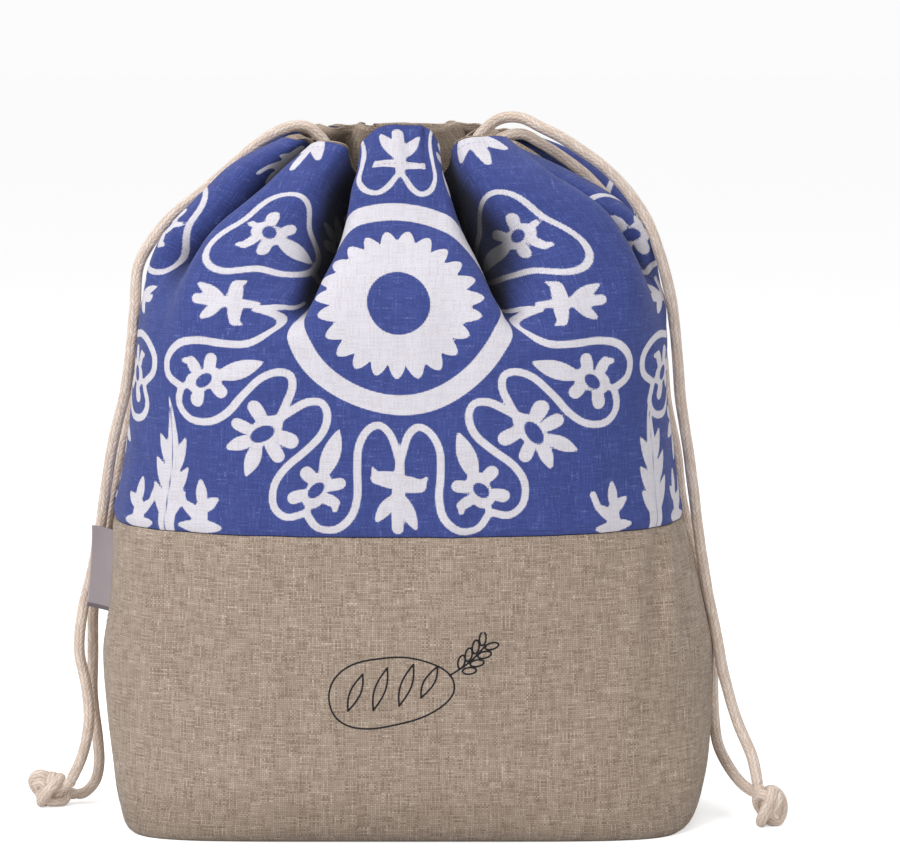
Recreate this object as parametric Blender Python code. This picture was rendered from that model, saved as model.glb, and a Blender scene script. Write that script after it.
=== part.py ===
"""Drawstring bread bag of linen, standing on its boxed bottom with the neck drawn in.

The cloth is one closed wall whose level sections keep the same girth all the way up. Where a
section has less room than the girth, the cloth swings in and out of it in ridges and valleys.
Lengths in the tables are millimetres, and +X is the bag's right, -Y its front and +Z up.
"""

from collections import namedtuple

import bmesh
import bpy
import numpy as np

MM = 0.001

# Cloth and cord sizes
GIRTH = 748.0
CLOTH_THICKNESS = 1.5
FACING_THICKNESS = 1.3
PIECE_GAP = 0.3
FACING_GAP = 0.7
SEAM_HEIGHT = 149.0
FACING_PROUD = 1.6
CORD_DIAMETER = 5.5
CORD_STEP = 3.0 * CORD_DIAMETER
CORD_BEVEL_RESOLUTION = 2

# How finely the cloth is divided
AROUND_SAMPLES = 1600
SECTION_FINENESS = 4
SWING_STEPS = 40
UP_SAMPLES = 400
FLANK_COLUMNS = 6
SEAM_MARGIN = 0.002
WALL_COLUMNS = 72
WALL_HEIGHTS = (0.0, 2.0, 7.0, 20.0, 45.0, 72.0, 100.0, 127.0, SEAM_HEIGHT)
UPPER_ROWS = 13
FACING_ROWS = 4
BASE_RINGS = (0.45, 0.84)
SHARP_ANGLE = 60.0

# Level sections of the standing bag, from the floor to the mouth
Section = namedtuple("Section", "height left right front back squareness")
SECTIONS = (
    Section(0.0, 134.5, 134.0, 66.5, 58.0, 6.5),
    Section(1.5, 137.5, 137.5, 69.0, 60.5, 5.5),
    Section(5.0, 140.0, 141.5, 71.0, 62.5, 4.5),
    Section(14.0, 143.0, 145.8, 72.0, 65.0, 3.4),
    Section(28.0, 145.4, 148.8, 73.5, 67.5, 2.8),
    Section(50.0, 148.5, 150.2, 75.0, 69.5, 2.5),
    Section(80.0, 150.5, 151.0, 77.0, 72.0, 2.35),
    Section(106.0, 147.0, 146.2, 79.0, 76.0, 2.4),
    Section(127.0, 145.5, 141.0, 79.5, 80.0, 2.45),
    Section(149.0, 144.5, 135.5, 80.0, 84.0, 2.5),
    Section(180.0, 138.2, 131.0, 81.0, 88.0, 2.65),
    Section(205.0, 135.5, 129.0, 80.5, 90.0, 2.75),
    Section(222.0, 133.0, 128.0, 79.0, 89.0, 2.8),
    Section(241.0, 130.0, 126.0, 75.5, 86.0, 2.75),
    Section(255.0, 127.0, 122.0, 70.0, 80.5, 2.65),
    Section(269.0, 123.0, 117.0, 62.5, 72.0, 2.5),
    Section(284.0, 115.5, 110.5, 53.5, 61.5, 2.35),
    Section(298.0, 102.0, 99.0, 45.0, 52.0, 2.25),
    Section(309.0, 89.5, 89.5, 39.0, 45.0, 2.2),
    Section(319.0, 78.0, 78.0, 34.0, 39.0, 2.15),
    Section(327.5, 65.5, 65.5, 30.5, 34.5, 2.1),
    Section(335.0, 51.5, 50.0, 28.0, 30.5, 2.1),
)

# Gathered ridges, clockwise from the front centre as seen from below. crest and valley are
# shares of the girth, valley being the one that ends the ridge; flat is the share that stays
# flat on the crest; rise and fall are how steeply the ridge's two flanks stand; foot is the
# height at which its valley starts; lift and dip are how far the crest stands over the plain
# rim of the mouth and how far the valley lies under it.
Ridge = namedtuple("Ridge", "name crest flat rise fall valley foot lift dip")
RIDGES = (
    Ridge("front_middle", 0.000, 0.050, 1.02, 1.02, 0.061, 236.0, 6.5, 12.0),
    Ridge("front_right", 0.109, 0.012, 0.90, 1.08, 0.166, 232.0, 2.0, 13.0),
    Ridge("side_right_front", 0.209, 0.006, 0.84, 0.92, 0.250, 180.0, -6.0, 11.0),
    Ridge("side_right_back", 0.300, 0.006, 0.92, 0.96, 0.350, 206.0, 0.0, 7.0),
    Ridge("back_right", 0.396, 0.012, 1.00, 1.02, 0.448, 218.0, 4.0, 4.0),
    Ridge("back_middle", 0.504, 0.038, 1.01, 1.00, 0.558, 224.0, 4.5, 3.0),
    Ridge("back_left", 0.606, 0.012, 1.00, 0.98, 0.654, 210.0, 4.0, 5.0),
    Ridge("side_left_back", 0.702, 0.006, 0.94, 0.94, 0.750, 184.0, 0.5, 10.0),
    Ridge("side_left_front", 0.795, 0.006, 0.92, 0.84, 0.848, 234.0, -1.0, 11.0),
    Ridge("front_left", 0.891, 0.012, 1.08, 0.90, 0.938, 238.0, -1.0, 13.0),
)
FOLD_RISE = 68.0
STEEPEST = 2.05
MOUTH_START = 292.0

# Folded label in the left side seam: a loop of ribbon, sewn in along its root
LABEL_LOW = 106.5
LABEL_HIGH = 147.5
LABEL_REACH = 13.0
LABEL_THICKNESS = 1.4
LABEL_DEPTH = 5.0
LABEL_TURN = 3.0
LABEL_SAG = 1.6
LABEL_CLEAR = 0.7
LABEL_PLACE = 0.75
LABEL_STEPS = 6

# Outline of the folded label seen from above, as shares of its reach and of half its thickness
LabelCorner = namedtuple("LabelCorner", "reach side")
LABEL_OUTLINE = (
    LabelCorner(0.0, -1.0),
    LabelCorner(0.5, -1.0),
    LabelCorner(0.94, -1.0),
    LabelCorner(1.0, -0.3),
    LabelCorner(1.0, 0.3),
    LabelCorner(0.94, 1.0),
    LabelCorner(0.5, 1.0),
    LabelCorner(0.0, 1.0),
)

# Cord routes from the side slit down to the knot that joins each pair
Route = namedtuple("Route", "name points")
ROUTES = (
    Route("cord_left_front", (
        (-44.0, 3.5, 336.0), (-48.0, 3.5, 338.8), (-54.0, 3.0, 339.6), (-61.5, 2.0, 337.4),
        (-71.0, 1.0, 331.8), (-83.5, 0.0, 321.5), (-99.0, -1.0, 308.0), (-116.4, -1.6, 293.7),
        (-130.5, -1.6, 273.0), (-132.7, -4.4, 252.5), (-134.5, -6.5, 233.0),
        (-138.0, -4.0, 210.5), (-144.5, -1.0, 185.5), (-149.0, 0.0, 159.5), (-152.0, 1.0, 140.5),
        (-156.0, 1.0, 120.5), (-161.0, 1.0, 100.5), (-163.0, 0.0, 80.5), (-159.5, -1.0, 61.5),
        (-158.5, -2.0, 44.5), (-162.0, -1.0, 27.5), (-168.6, 1.7, 13.0),
    )),
    Route("cord_left_back", (
        (-45.5, 3.5, 328.3), (-50.5, 4.5, 331.2), (-56.0, 6.0, 331.6), (-63.5, 8.0, 329.2),
        (-73.0, 10.0, 325.0), (-85.5, 12.0, 318.5), (-99.7, 13.7, 305.1), (-114.0, 16.0, 288.0),
        (-123.5, 18.0, 267.0), (-128.0, 18.5, 248.5), (-132.5, 17.5, 228.5),
        (-136.5, 17.0, 206.0), (-142.0, 15.0, 181.0), (-146.5, 13.0, 158.0),
        (-149.5, 12.0, 139.0), (-154.0, 11.0, 119.0), (-157.0, 11.0, 98.5), (-157.5, 11.5, 78.0),
        (-158.0, 12.0, 55.0), (-156.0, 12.5, 34.5), (-155.5, 13.5, 19.0), (-158.0, 13.5, 10.0),
        (-163.5, 12.5, 4.8), (-167.9, 11.2, 4.8),
    )),
    Route("cord_right_front", (
        (39.5, 3.5, 338.8), (43.5, 3.0, 342.0), (49.0, 2.0, 343.8), (56.0, -0.5, 343.4),
        (65.5, -5.0, 339.0), (74.5, -6.0, 334.5), (85.5, -7.0, 327.5), (97.0, -8.0, 319.0),
        (107.5, -9.0, 308.0), (117.0, -10.0, 293.5), (123.5, -11.0, 276.5), (128.7, -12.0, 255.5),
        (131.8, -11.0, 231.0), (134.0, -9.0, 206.5), (138.0, -8.0, 181.5), (141.0, -8.0, 159.5),
        (144.0, -8.0, 137.0), (148.0, -9.0, 112.0), (152.0, -12.0, 93.0), (156.0, -16.0, 71.0),
        (162.5, -22.0, 48.5), (169.0, -29.0, 33.0), (171.9, -33.6, 18.6),
    )),
    Route("cord_right_back", (
        (41.5, 3.5, 330.2), (46.0, 3.8, 333.4), (51.0, 4.5, 335.2), (57.5, 5.5, 335.2),
        (65.5, 6.0, 331.0), (75.0, 7.0, 325.0), (87.0, 8.0, 316.0), (98.5, 9.0, 304.0),
        (108.0, 12.0, 291.0), (115.5, 16.0, 274.0), (121.5, 19.5, 253.0), (126.5, 20.0, 228.0),
        (129.0, 21.5, 203.0), (134.0, 20.5, 178.5), (137.0, 18.5, 153.5), (143.0, 16.5, 129.0),
        (149.5, 13.5, 104.0), (153.0, 13.0, 83.5), (153.0, 12.5, 62.5), (153.5, 10.0, 45.5),
        (155.0, 5.0, 32.5), (159.0, -6.0, 24.0), (165.0, -20.0, 17.5), (171.0, -29.4, 14.8),
    )),
)
ROUTE_FINENESS = 24

# Overhand knots that join each pair of cord ends, lying on the surface
Knot = namedtuple("Knot", "name x y height length depth tall turn")
KNOTS = (
    Knot("knot_left", -179.5, 6.0, 8.6, 22.0, 17.0, 18.0, 0.0),
    Knot("knot_right", 177.5, -35.0, 9.4, 18.0, 17.0, 19.6, 55.0),
)
KNOT_SIDES = 20
KNOT_RINGS = 11
KNOT_RIDGE = 0.09
KNOT_STRANDS = 3.0
KNOT_SLANT = 2.4

# Plain finishes: colour and roughness
Finish = namedtuple("Finish", "name colour roughness")
LINEN = Finish("natural_linen", (0.39, 0.31, 0.23), 0.92)
PRINTED = Finish("printed_linen", (0.06, 0.09, 0.37), 0.9)
COTTON = Finish("cotton_cord", (0.74, 0.6, 0.46), 0.9)
RIBBON = Finish("label_ribbon", (0.4, 0.38, 0.42), 0.7)


def smooth_step(share):
    """Rise softly from 0 to 1 as share goes from 0 to 1."""
    share = np.clip(share, 0.0, 1.0)
    return share * share * (3.0 - 2.0 * share)


def soft_column(knots, values, where):
    """Read a smooth curve through the table values, one that never overshoots them."""
    steps = np.diff(knots)
    slopes = np.diff(values) / steps
    tangents = np.zeros_like(values)
    same_way = slopes[:-1] * slopes[1:] > 0.0
    weight_a = 2.0 * steps[1:] + steps[:-1]
    weight_b = steps[1:] + 2.0 * steps[:-1]
    inner = np.zeros_like(slopes[1:])
    inner[same_way] = (weight_a + weight_b)[same_way] / (
        weight_a[same_way] / slopes[:-1][same_way] + weight_b[same_way] / slopes[1:][same_way]
    )
    tangents[1:-1] = inner
    tangents[0] = slopes[0]
    tangents[-1] = slopes[-1]
    at = np.clip(np.searchsorted(knots, where, side="right") - 1, 0, len(steps) - 1)
    share = (where - knots[at]) / steps[at]
    rest = 1.0 - share
    return (
        values[at] * (1.0 + 2.0 * share) * rest * rest
        + tangents[at] * steps[at] * share * rest * rest
        + values[at + 1] * share * share * (3.0 - 2.0 * share)
        - tangents[at + 1] * steps[at] * share * share * rest
    )


def section_profile():
    """Return the sections' columns at even steps of length up the cloth."""
    table = np.array(SECTIONS)
    reach = table[:, 1:5].mean(axis=1)
    lengths = np.hypot(np.diff(table[:, 0]), np.diff(reach))
    knots = np.concatenate(([0.0], np.cumsum(lengths)))
    up = np.linspace(0.0, knots[-1], UP_SAMPLES)
    columns = [soft_column(knots, table[:, column], up) for column in range(table.shape[1])]
    return up, Section(*columns)


def plain_section(left, right, front, back, squareness):
    """Return the even-spaced outline of one level section, from its front centre to the right."""
    turn = np.linspace(0.0, 2.0 * np.pi, SECTION_FINENESS * AROUND_SAMPLES + 1)
    across = np.sin(turn)
    ahead = np.cos(turn)
    side = np.where(across >= 0.0, right, left)
    depth = np.where(ahead >= 0.0, front, back)
    reach = (np.abs(across / side) ** squareness + np.abs(ahead / depth) ** squareness)
    reach = reach ** (-1.0 / squareness)
    outline = np.column_stack((reach * across, -reach * ahead))
    run = np.concatenate(([0.0], np.cumsum(np.hypot(*np.diff(outline, axis=0).T))))
    wanted = np.linspace(0.0, run[-1], AROUND_SAMPLES + 1)
    x = np.interp(wanted, run, outline[:, 0])
    y = np.interp(wanted, run, outline[:, 1])
    return np.column_stack((x, y)), run[-1]


def rim_profile(around):
    """Return how far the mouth's rim stands over or under its plain height at each place."""
    lines = []
    for ridge in RIDGES:
        lines.append((ridge.crest - 0.5 * ridge.flat, ridge.lift))
        lines.append((ridge.crest + 0.5 * ridge.flat, ridge.lift))
        lines.append((ridge.valley, -ridge.dip))
    lines = sorted((place % 1.0, level) for place, level in lines)
    lines = [(lines[-1][0] - 1.0, lines[-1][1]), *lines, (lines[0][0] + 1.0, lines[0][1])]
    level = np.zeros_like(around)
    for (low, low_level), (high, high_level) in zip(lines[:-1], lines[1:]):
        share = (around - low) / (high - low)
        inside = (share >= 0.0) & (share < 1.0)
        level[inside] = low_level + (high_level - low_level) * smooth_step(share[inside])
    level[-1] = level[0]
    return level


def fold_lean(around, height):
    """Return how strongly the cloth leans at each place around, for a section at one height.

    Positive where a flank climbs out of a valley, negative where it falls into one.
    """
    lean = np.zeros_like(around)
    for index, ridge in enumerate(RIDGES):
        before = RIDGES[index - 1]
        start = before.valley - (1.0 if before.valley > ridge.crest else 0.0)
        flanks = (
            (start, ridge.crest - 0.5 * ridge.flat, ridge.rise, before.foot),
            (ridge.crest + 0.5 * ridge.flat, ridge.valley, -ridge.fall, ridge.foot),
        )
        for low, high, slope, foot in flanks:
            strength = slope * smooth_step((height - foot) / FOLD_RISE)
            share = np.mod(around - low, 1.0) / (high - low)
            lean += np.where(share <= 1.0, strength * np.sin(np.pi * np.clip(share, 0, 1)), 0.0)
    return lean


def swing(lean, room):
    """Find the swing of the folds that fits the girth into the room of a section.

    Returns the share of the way along the section, and how far out of it, at each place.
    """
    low, high = 0.0, STEEPEST
    for _ in range(SWING_STEPS):
        middle = 0.5 * (low + high)
        if np.cos(middle * lean[:-1]).mean() > room:
            low = middle
        else:
            high = middle
    along = np.concatenate(([0.0], np.cumsum(np.cos(low * lean[:-1]))))
    out = np.concatenate(([0.0], np.cumsum(np.sin(low * lean[:-1])))) / (len(lean) - 1)
    out -= np.linspace(0.0, out[-1], len(out))
    return along / along[-1], (out - out[:-1].mean()) * GIRTH


class BagShape:
    """The outer face of the standing bag as a table of points: around by up the cloth."""

    def __init__(self):
        self.around = np.linspace(0.0, 1.0, AROUND_SAMPLES + 1)
        self.up, profile = section_profile()
        self.heights = profile.height
        plain = np.zeros((UP_SAMPLES, AROUND_SAMPLES + 1, 3))
        along = np.zeros((UP_SAMPLES, AROUND_SAMPLES + 1))
        out = np.zeros((UP_SAMPLES, AROUND_SAMPLES + 1))
        for row in range(UP_SAMPLES):
            sizes = [column[row] for column in profile[1:]]
            outline, length = plain_section(*sizes)
            plain[row, :, :2] = outline
            plain[row, :, 2] = self.heights[row]
            lean = fold_lean(self.around, self.heights[row])
            along[row], out[row] = swing(lean, length / GIRTH)
        normals = self.face_normals(plain)
        self.points = np.zeros_like(plain)
        for row in range(UP_SAMPLES):
            for axis in range(3):
                base = np.interp(along[row], self.around, plain[row, :, axis])
                push = np.interp(along[row], self.around, normals[row, :, axis])
                self.points[row, :, axis] = base + push * out[row]
        rim = smooth_step((self.heights - MOUTH_START) / (self.heights[-1] - MOUTH_START))[:, None]
        level = self.heights[:, None] + rim_profile(self.around)[None, :]
        self.points[:, :, 2] += rim * (level - self.points[:, :, 2])
        self.normals = self.face_normals(self.points)

    @staticmethod
    def face_normals(points):
        """Return the outward normals of a closed table of points."""
        closed = points[:, :-1]
        side = np.roll(closed, -1, axis=1) - np.roll(closed, 1, axis=1)
        rise = np.gradient(closed, axis=0)
        normal = np.cross(side, rise)
        normal /= np.linalg.norm(normal, axis=2, keepdims=True)
        return np.concatenate((normal, normal[:, :1]), axis=1)

    def up_at_height(self, height):
        """Return the length up the cloth at which the plain section has this height."""
        return float(np.interp(height, self.heights, self.up))

    def read(self, table, around, up):
        """Read a table of points or normals at places around and up the cloth."""
        column = np.mod(np.asarray(around), 1.0) * AROUND_SAMPLES
        row = np.asarray(up) / self.up[-1] * (UP_SAMPLES - 1)
        low_column = np.floor(column).astype(int)
        low_row = np.clip(np.floor(row).astype(int), 0, UP_SAMPLES - 2)
        across = (column - low_column)[..., None]
        above = (row - low_row)[..., None]
        lower = table[low_row, low_column] * (1 - across) + table[low_row, low_column + 1] * across
        upper = (
            table[low_row + 1, low_column] * (1 - across)
            + table[low_row + 1, low_column + 1] * across
        )
        return lower * (1 - above) + upper * above

    def place(self, around, up, depth=0.0):
        """Return the point that lies depth under the outer face at each place on the cloth."""
        normal = self.read(self.normals, around, up)
        normal /= np.linalg.norm(normal, axis=-1, keepdims=True)
        return self.read(self.points, around, up) - depth * normal


def clear_scene():
    """Remove every object that the scene starts with."""
    for item in list(bpy.data.objects):
        bpy.data.objects.remove(item, do_unlink=True)


def make_material(finish):
    """Return a matte material of one colour."""
    material = bpy.data.materials.new(finish.name)
    material.use_nodes = True
    shader = material.node_tree.nodes["Principled BSDF"]
    shader.inputs["Base Color"].default_value = (*finish.colour, 1.0)
    shader.inputs["Roughness"].default_value = finish.roughness
    shader.inputs["Metallic"].default_value = 0.0
    material.diffuse_color = (*finish.colour, 1.0)
    return material


def link_mesh(name, points, faces, material):
    """Make an object of millimetre points and faces, with its normals pointing out."""
    mesh = bpy.data.meshes.new(name)
    mesh.from_pydata([tuple(point) for point in np.asarray(points) * MM], [], faces)
    cloth = bmesh.new()
    cloth.from_mesh(mesh)
    bmesh.ops.recalc_face_normals(cloth, faces=cloth.faces)
    cloth.to_mesh(mesh)
    cloth.free()
    mesh.shade_smooth()
    mesh.set_sharp_from_angle(angle=np.radians(SHARP_ANGLE))
    mesh.materials.append(material)
    item = bpy.data.objects.new(name, mesh)
    bpy.context.collection.objects.link(item)
    return item


def strip_faces(first, second, closed):
    """Return the triangles between two rows of vertex numbers, all split the same way."""
    count = len(first) if closed else len(first) - 1
    faces = []
    for i in range(count):
        j = (i + 1) % len(first)
        faces.append((int(first[i]), int(first[j]), int(second[j])))
        faces.append((int(first[i]), int(second[j]), int(second[i])))
    return faces


def fold_columns(low, high):
    """Return places around the girth between two side seams, closest where the cloth turns."""
    lines = []
    for index, ridge in enumerate(RIDGES):
        for shift in (-1.0, 0.0):
            start = RIDGES[index - 1].valley
            start -= 1.0 if start > ridge.crest else 0.0
            left = ridge.crest - 0.5 * ridge.flat
            right = ridge.crest + 0.5 * ridge.flat
            lines += list(shift + np.linspace(start, left, FLANK_COLUMNS + 1))
            lines += list(shift + np.linspace(right, ridge.valley, FLANK_COLUMNS + 1))
    inside = [line for line in lines if low + SEAM_MARGIN < line < high - SEAM_MARGIN]
    return np.unique(np.round([low, *inside, high], 6))


def open_sheet(name, shape, columns, ups, depth, thickness, material):
    """Make one closed solid of cloth over a patch of the bag's face."""
    grid_around, grid_up = np.meshgrid(columns, ups)
    outer = shape.place(grid_around, grid_up, depth).reshape(-1, 3)
    inner = shape.place(grid_around, grid_up, depth + thickness).reshape(-1, 3)
    width, rows = len(columns), len(ups)
    front = np.arange(width * rows).reshape(rows, width)
    back = front + width * rows
    faces = []
    for row in range(rows - 1):
        faces += strip_faces(front[row], front[row + 1], closed=False)
        faces += [face[::-1] for face in strip_faces(back[row], back[row + 1], closed=False)]
    faces += strip_faces(back[0], front[0], closed=False)
    faces += strip_faces(front[-1], back[-1], closed=False)
    faces += strip_faces(front[:, 0], back[:, 0], closed=False)
    faces += strip_faces(back[:, -1], front[:, -1], closed=False)
    return link_mesh(name, np.concatenate((outer, inner)), faces, material)


def side_seams(half):
    """Return the girth shares of the seams that end the front half or the back half."""
    margin = 0.5 * PIECE_GAP / GIRTH
    middle = 0.0 if half == "front" else 0.5
    return middle - 0.25 + margin, middle + 0.25 - margin


def upper_rows(shape):
    """Return the lengths up the cloth of an upper panel's rows, from seam to top edge."""
    low = shape.up_at_height(SEAM_HEIGHT) + PIECE_GAP
    return np.linspace(low, shape.up[-1] - FACING_PROUD, UPPER_ROWS + 1)


def make_upper(shape, half, material):
    """Make a printed upper panel, front or back."""
    columns = fold_columns(*side_seams(half))
    rows = upper_rows(shape)
    return open_sheet(f"upper_{half}", shape, columns, rows, 0.0, CLOTH_THICKNESS, material)


def make_facing(shape, half, material):
    """Make the strip that lines the mouth and forms the cord channel, front or back."""
    columns = fold_columns(*side_seams(half))
    rows = np.append(upper_rows(shape)[-1 - FACING_ROWS:], shape.up[-1])
    depth = CLOTH_THICKNESS + FACING_GAP
    return open_sheet(
        f"facing_{half}", shape, columns, rows, depth, FACING_THICKNESS, material
    )


def make_lower(shape, material):
    """Make the lower panel with its flat boxed bottom, open at the top."""
    columns = np.arange(WALL_COLUMNS) / WALL_COLUMNS
    ups = [shape.up_at_height(height) for height in WALL_HEIGHTS]
    points, faces = [], []
    layers = []
    for depth in (0.0, CLOTH_THICKNESS):
        rings = []
        edge = shape.place(columns, np.full(WALL_COLUMNS, ups[0]))
        for share in BASE_RINGS:
            ring = edge * (share, share, 0.0)
            ring[:, 2] = depth
            rings.append(ring)
        for up in ups:
            rings.append(shape.place(columns, np.full(WALL_COLUMNS, up), depth))
        middle = len(points)
        points.append((0.0, 0.0, depth))
        numbers = []
        for ring in rings:
            numbers.append(list(range(len(points), len(points) + WALL_COLUMNS)))
            points += [tuple(point) for point in ring]
        first = numbers[0]
        faces += [(middle, first[i], first[i - 1]) for i in range(WALL_COLUMNS)]
        for lower, upper in zip(numbers[:-1], numbers[1:]):
            faces += strip_faces(lower, upper, closed=True)
        layers.append(numbers)
    faces += strip_faces(layers[0][-1], layers[1][-1], closed=True)
    return link_mesh("lower_panel", points, faces, material)


def make_label(shape, material):
    """Make the folded ribbon label that stands out of the left side seam."""
    points, faces = [], []
    for height in np.linspace(LABEL_LOW, LABEL_HIGH, LABEL_STEPS + 1):
        up = shape.up_at_height(height)
        root = shape.place(np.array([LABEL_PLACE]), np.array([up]))[0, 0] - LABEL_CLEAR
        droop = LABEL_SAG * (LABEL_HIGH - height) / (LABEL_HIGH - LABEL_LOW)
        half = 0.5 * LABEL_THICKNESS
        for corner in LABEL_OUTLINE:
            x = root - corner.reach * (LABEL_REACH + droop)
            y = corner.side * half - LABEL_DEPTH - LABEL_TURN * corner.reach * corner.reach
            points.append((x, y, height))
    numbers = np.arange(len(points)).reshape(-1, len(LABEL_OUTLINE))
    for low, high in zip(numbers[:-1], numbers[1:]):
        faces += strip_faces(low, high, closed=True)
    faces.append(tuple(int(number) for number in numbers[0]))
    faces.append(tuple(int(number) for number in numbers[-1]))
    return link_mesh("label", points, faces, material)


def smooth_route(points, step):
    """Return points at even steps along a smooth curve through a route's own points."""
    points = np.array(points)
    ends = np.vstack((2 * points[0] - points[1], points, 2 * points[-1] - points[-2]))
    gaps = np.sqrt(np.linalg.norm(np.diff(ends, axis=0), axis=1))
    times = np.concatenate(([0.0], np.cumsum(gaps)))
    fine = []
    for index in range(1, len(ends) - 2):
        t0, t1, t2, t3 = times[index - 1:index + 3]
        p0, p1, p2, p3 = ends[index - 1:index + 3]
        for t in np.linspace(t1, t2, ROUTE_FINENESS, endpoint=False):
            a1 = p0 * (t1 - t) / (t1 - t0) + p1 * (t - t0) / (t1 - t0)
            a2 = p1 * (t2 - t) / (t2 - t1) + p2 * (t - t1) / (t2 - t1)
            a3 = p2 * (t3 - t) / (t3 - t2) + p3 * (t - t2) / (t3 - t2)
            b1 = a1 * (t2 - t) / (t2 - t0) + a2 * (t - t0) / (t2 - t0)
            b2 = a2 * (t3 - t) / (t3 - t1) + a3 * (t - t1) / (t3 - t1)
            fine.append(b1 * (t2 - t) / (t2 - t1) + b2 * (t - t1) / (t2 - t1))
    fine.append(points[-1])
    fine = np.array(fine)
    run = np.concatenate(([0.0], np.cumsum(np.linalg.norm(np.diff(fine, axis=0), axis=1))))
    count = int(round(run[-1] / step))
    wanted = np.linspace(0.0, run[-1], count + 1)
    return np.column_stack([np.interp(wanted, run, fine[:, axis]) for axis in range(3)])


def make_cord(route, material):
    """Make one free strand of cord as a round tube along its route."""
    places = smooth_route(route.points, CORD_STEP) * MM
    curve = bpy.data.curves.new(route.name, "CURVE")
    curve.dimensions = "3D"
    curve.bevel_depth = 0.5 * CORD_DIAMETER * MM
    curve.bevel_resolution = CORD_BEVEL_RESOLUTION
    curve.use_fill_caps = True
    spline = curve.splines.new("POLY")
    spline.points.add(len(places) - 1)
    for point, place in zip(spline.points, places):
        point.co = (*place, 1.0)
    curve.materials.append(material)
    item = bpy.data.objects.new(route.name, curve)
    bpy.context.collection.objects.link(item)
    return item


def make_knot(knot, material):
    """Make a knot as one lump with the ridges of its turns, flat where it lies."""
    points = [(0.0, 0.0, -1.0)]
    for ring in range(1, KNOT_RINGS):
        rise = np.pi * (ring / KNOT_RINGS - 0.5)
        for side in range(KNOT_SIDES):
            turn = 2.0 * np.pi * side / KNOT_SIDES
            strand = np.cos(KNOT_STRANDS * turn + KNOT_SLANT * rise)
            ridge = 1.0 + KNOT_RIDGE * strand * np.cos(rise)
            points.append((
                ridge * np.cos(rise) * np.cos(turn),
                ridge * np.cos(rise) * np.sin(turn),
                np.sin(rise),
            ))
    points.append((0.0, 0.0, 1.0))
    last = len(points) - 1
    rings = [
        list(range(1 + ring * KNOT_SIDES, 1 + (ring + 1) * KNOT_SIDES))
        for ring in range(KNOT_RINGS - 1)
    ]
    faces = [(0, rings[0][i], rings[0][i - 1]) for i in range(KNOT_SIDES)]
    faces += [(last, rings[-1][i - 1], rings[-1][i]) for i in range(KNOT_SIDES)]
    for lower, upper in zip(rings[:-1], rings[1:]):
        faces += strip_faces(lower, upper, closed=True)
    angle = np.radians(knot.turn)
    shape = np.array(points) * 0.5 * (knot.length, knot.depth, knot.tall)
    placed = shape.copy()
    placed[:, 0] = knot.x + np.cos(angle) * shape[:, 0] - np.sin(angle) * shape[:, 1]
    placed[:, 1] = knot.y + np.sin(angle) * shape[:, 0] + np.cos(angle) * shape[:, 1]
    placed[:, 2] = np.maximum(knot.height + shape[:, 2], 0.0)
    return link_mesh(knot.name, placed, faces, material)


def main():
    """Model the bag."""
    clear_scene()
    linen = make_material(LINEN)
    printed = make_material(PRINTED)
    cotton = make_material(COTTON)
    ribbon = make_material(RIBBON)
    shape = BagShape()
    make_lower(shape, linen)
    for half in ("front", "back"):
        make_upper(shape, half, printed)
        make_facing(shape, half, linen)
    make_label(shape, ribbon)
    for route in ROUTES:
        make_cord(route, cotton)
    for knot in KNOTS:
        make_knot(knot, cotton)


main()
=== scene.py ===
"""Dressed drawstring bread bag: printed and natural linen, cotton cords and a blank label.

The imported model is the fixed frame. The cloth is worked out by the same rule as the solids,
from named sections and ridges, on a finer grid, with a slightly fuller right shoulder and a
more level back rim, and gets its creases, seams, print and stitching here. Lengths in the
tables are millimetres, places on the cloth are millimetres around it from its front centre
and up it from the floor, and every finished mesh is in metres.
"""

from __future__ import annotations

import logging
import math
from dataclasses import dataclass, field
from enum import Enum
from typing import Callable

import bpy
import numpy as np
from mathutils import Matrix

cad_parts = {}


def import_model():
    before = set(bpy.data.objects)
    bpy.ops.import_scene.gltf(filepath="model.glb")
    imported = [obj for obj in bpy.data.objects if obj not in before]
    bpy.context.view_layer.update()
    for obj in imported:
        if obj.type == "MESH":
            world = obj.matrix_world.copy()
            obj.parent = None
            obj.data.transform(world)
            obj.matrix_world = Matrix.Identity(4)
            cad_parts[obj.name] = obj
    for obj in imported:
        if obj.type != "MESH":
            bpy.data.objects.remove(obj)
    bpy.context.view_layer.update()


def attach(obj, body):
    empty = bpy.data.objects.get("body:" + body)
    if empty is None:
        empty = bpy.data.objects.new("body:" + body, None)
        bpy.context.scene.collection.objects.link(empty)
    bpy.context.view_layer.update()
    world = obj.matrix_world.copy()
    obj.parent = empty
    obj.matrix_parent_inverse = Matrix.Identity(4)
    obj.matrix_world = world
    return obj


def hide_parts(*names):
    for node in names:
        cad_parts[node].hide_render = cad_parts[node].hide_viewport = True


LOG = logging.getLogger("bread_bag")

MM = 0.001
GIRTH = 748.0
SEAM_HEIGHT = 149.0
FACING_PROUD = 1.6
FACING_REACH = 63.0
CORD_DIAMETER = 5.5
WELDS_PER_MM = 2000.0
FAR = 1000.0

CLOTH_MAP = "ClothMap"
PRINT_EDGE = "print_edge"
INK_LINE = "ink_line"
FOLD_SHADE = "fold_shade"

Pair = tuple[float, float]
Triple = tuple[float, float, float]
Array = np.ndarray
Item = bpy.types.Object
Material = bpy.types.Material
Node = bpy.types.Node
NodeTree = bpy.types.NodeTree
Socket = bpy.types.NodeSocket


class Half(Enum):
    """The two halves that the upper cloth and its facing are cut in."""

    FRONT = 0.0
    BACK = 0.5


class Slot(Enum):
    """The materials' slot names."""

    LINEN = "natural_linen"
    PRINT = "printed_linen"
    CORD = "cotton_cord"
    RIBBON = "label_ribbon"


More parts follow.
